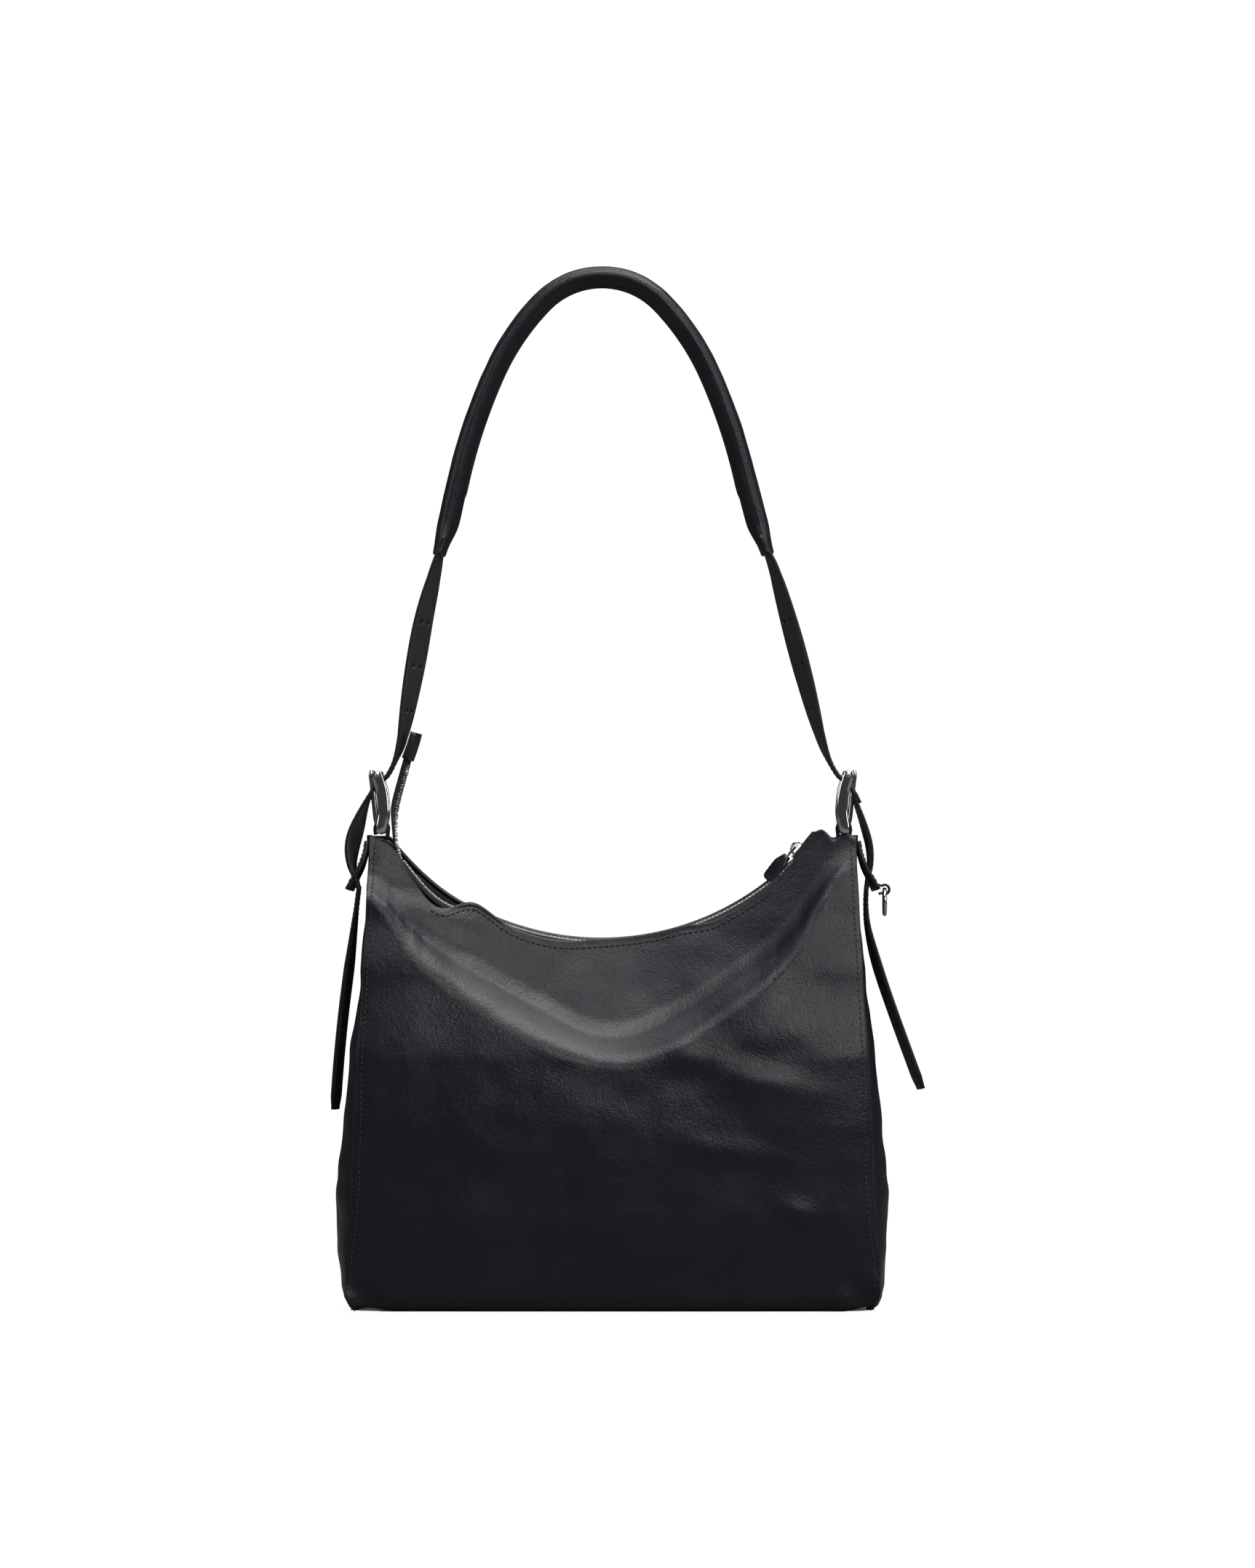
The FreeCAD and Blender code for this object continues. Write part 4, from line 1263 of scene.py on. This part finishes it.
def zipper_end():
    """The folded leather tab sewn over the zipper's end, and the stop below it."""

    def tab_width(share):
        return 21.5 - 2.0 * share ** 3

    route = flat_route([(-122.6, 327.5), (-120.9, 332), (-119.2, 337), (-117.3, 343.6)])
    parts, path, frames = strap("end_tab", route, -9.0, wide=tab_width, thick=3.9, stitched=False, back=STRAP)
    side, face, half = frames[3]
    for level in (-1, 1):
        middle = path[3] + face * (level * 1.97)
        line = [middle + side * mix(-half + 1.5, half - 1.5, k / 20) for k in range(21)]
        parts.append(stitch_row("end_stitches", line, face * level, pitch=2.8, long=2.0, thick=0.34))
    dress(merge("zipper_end_leather", parts), "strap", "strap_leather", "zipper_end_tab")
    stop = block("zipper_bottom_stop_cast", (2.8, 6.4, 3.0), ZIP_METAL, round_mm=0.6)
    moved(stop, (-123.6, 0, 320.0), Vector((0.96, 0, 0.28)), Vector((-0.28, 0, 0.96)))
    dress(stop, "strap", "zipper_metal", "zipper_bottom_stop")


def zipper_top_stops():
    parts = []
    for side in (-1, 1):
        stop = block("stop", (2.6, 2.2, 3.0), ZIP_METAL, round_mm=0.5)
        parts.append(moved(stop, chain_point(51.0, side * 1.7), SLIDER_AHEAD, SLIDER_UP))
    dress(merge("zipper_top_stops_cast", parts), "bag", "zipper_metal", "zipper_top_stops")


zipper_tail()
zipper_end()
zipper_top_stops()


# ---- hidden soft parts ----

LINING_TOP = 260.0
LINING_GAP = 3.0


def lining_bag():
    """A cloth bag that hangs a few millimetres inside the leather, open at the zipper."""
    columns = 56
    shares = [mix(-0.972, 0.972, i / columns) for i in range(columns + 1)]
    ring = [(share, True) for share in shares] + [(share, False) for share in reversed(shares)]
    tops = [min(top_of_column(share, front) - LINING_GAP, LINING_TOP) for share, front in ring]
    rows = []
    for j in range(41):
        row = []
        for (share, front), top in zip(ring, tops):
            z = mix(4.6, top, j / 40)
            x = column_x(share, z)
            depth = max(panel_depth(x, z, front) - LINING_GAP, 1.0)
            row.append(Vector((x, -depth if front else depth, z)))
        rows.append(row)
    thing = grid("lining_cloth", rows, LINING, closed_u=True)
    with opened(thing.data) as bm:
        low = [edge for edge in bm.edges if edge.is_boundary and edge.verts[0].co.z < 6 * MM]
        bmesh.ops.triangle_fill(bm, edges=low, use_beauty=True)
    return thicken(thing, 0.5)


bend(lining_bag(), "lining_cloth", SEAM_LOW, SEAM_HIGH, "lining")
# the cord that fills the sleeve
dress(tube("sleeve_cord", sleeve_middle[14:-14], 6.0, FOAM, flat=0.52), "strap", "core", "sleeve_core")


# ---- the one CAD node that shows as it is ----

board_mesh = frame["nodes"]["base_board"].data
board_mesh.materials.clear()
board_mesh.materials.append(BOARD)


# ---- stage, light and camera ----

PAPER_GLOW = 0.93


def paper():
    """Matt studio paper, a clean white to the eye but not a lamp for the bag."""
    material, shader = new_material("studio_paper", (0.14, 0.14, 0.14), 0.9)
    soft = texture(material, "ShaderNodeTexNoise", 3.0, Detail=2.0)
    greys = [(0.3, (0.13, 0.13, 0.132)), (0.7, (0.15, 0.15, 0.15))]
    ramp(material, soft.outputs["Fac"], greys, shader.inputs["Base Color"])
    shader.inputs["Emission Color"].default_value = (1, 1, 1, 1)
    path = add(material, "ShaderNodeLightPath")
    glow = add(material, "ShaderNodeMath", operation="MULTIPLY")
    glow.inputs[1].default_value = PAPER_GLOW
    link(material, path.outputs["Is Camera Ray"], glow.inputs[0])
    link(material, glow.outputs["Value"], shader.inputs["Emission Strength"])
    return material


def stage():
    """A white floor; beyond its edge the room is the same white."""
    low, high, reach = -2100, 1800, 1700
    floor = make("studio_floor", [(-reach, low, 0), (reach, low, 0), (reach, high, 0), (-reach, high, 0)],
                 [(0, 1, 2, 3)], paper())


def area_light(name, place, target, size, power):
    data = bpy.data.lights.new(name, "AREA")
    data.shape = "RECTANGLE"
    data.size, data.size_y = size
    data.energy = power
    lamp = bpy.data.objects.new(name, data)
    lamp.location = place
    lamp.rotation_euler = (Vector(target) - Vector(place)).to_track_quat("-Z", "Y").to_euler()
    bpy.context.scene.collection.objects.link(lamp)


def room():
    """White where it is seen directly; what the bag reflects of it is dim."""
    world = bpy.data.worlds.new("studio")
    world.use_nodes = True
    nodes, links = world.node_tree.nodes, world.node_tree.links
    seen = nodes.new("ShaderNodeBackground")
    seen.inputs["Color"].default_value = (1, 1, 1, 1)
    seen.inputs["Strength"].default_value = 1.05
    around = nodes["Background"]
    around.inputs["Color"].default_value = (0.94, 0.96, 1, 1)
    around.inputs["Strength"].default_value = 0.045
    choose = nodes.new("ShaderNodeMixShader")
    path = nodes.new("ShaderNodeLightPath")
    links.new(path.outputs["Is Camera Ray"], choose.inputs["Fac"])
    links.new(around.outputs["Background"], choose.inputs[1])
    links.new(seen.outputs["Background"], choose.inputs[2])
    links.new(choose.outputs["Shader"], nodes["World Output"].inputs["Surface"])
    bpy.context.scene.world = world


def light():
    room()
    area_light("soft_box", (0.35, -0.55, 2.5), (0.02, 0, 0.17), (3.0, 0.8), 54)
    area_light("left_strip", (-2.0, -0.9, 1.2), (-0.1, 0, 0.2), (0.3, 1.5), 7)
    area_light("right_strip", (2.0, -0.7, 1.0), (0.1, 0, 0.2), (0.25, 1.5), 7)
    area_light("front", (0.9, -2.4, 1.5), (0.05, 0, 0.12), (0.6, 0.5), 18)
    area_light("top", (0, 1.1, 2.6), (0, 0.6, 0), (2.6, 1.2), 22)


def camera():
    """Level, in front of the bag, far enough away that nothing looks larger for being near."""
    data = bpy.data.cameras.new("camera")
    view = bpy.data.objects.new("camera", data)
    bpy.context.scene.collection.objects.link(view)
    distance, front_y = 5.0, -0.055
    seen_height = 0.927
    data.sensor_width = 36.0
    data.lens = data.sensor_width * distance / seen_height
    view.location = (0.0088, front_y - distance, 0.313)
    view.rotation_euler = (math.pi / 2, 0, 0)
    bpy.context.scene.camera = view


stage()
light()
camera()
bpy.context.scene.view_settings.view_transform = "Standard"
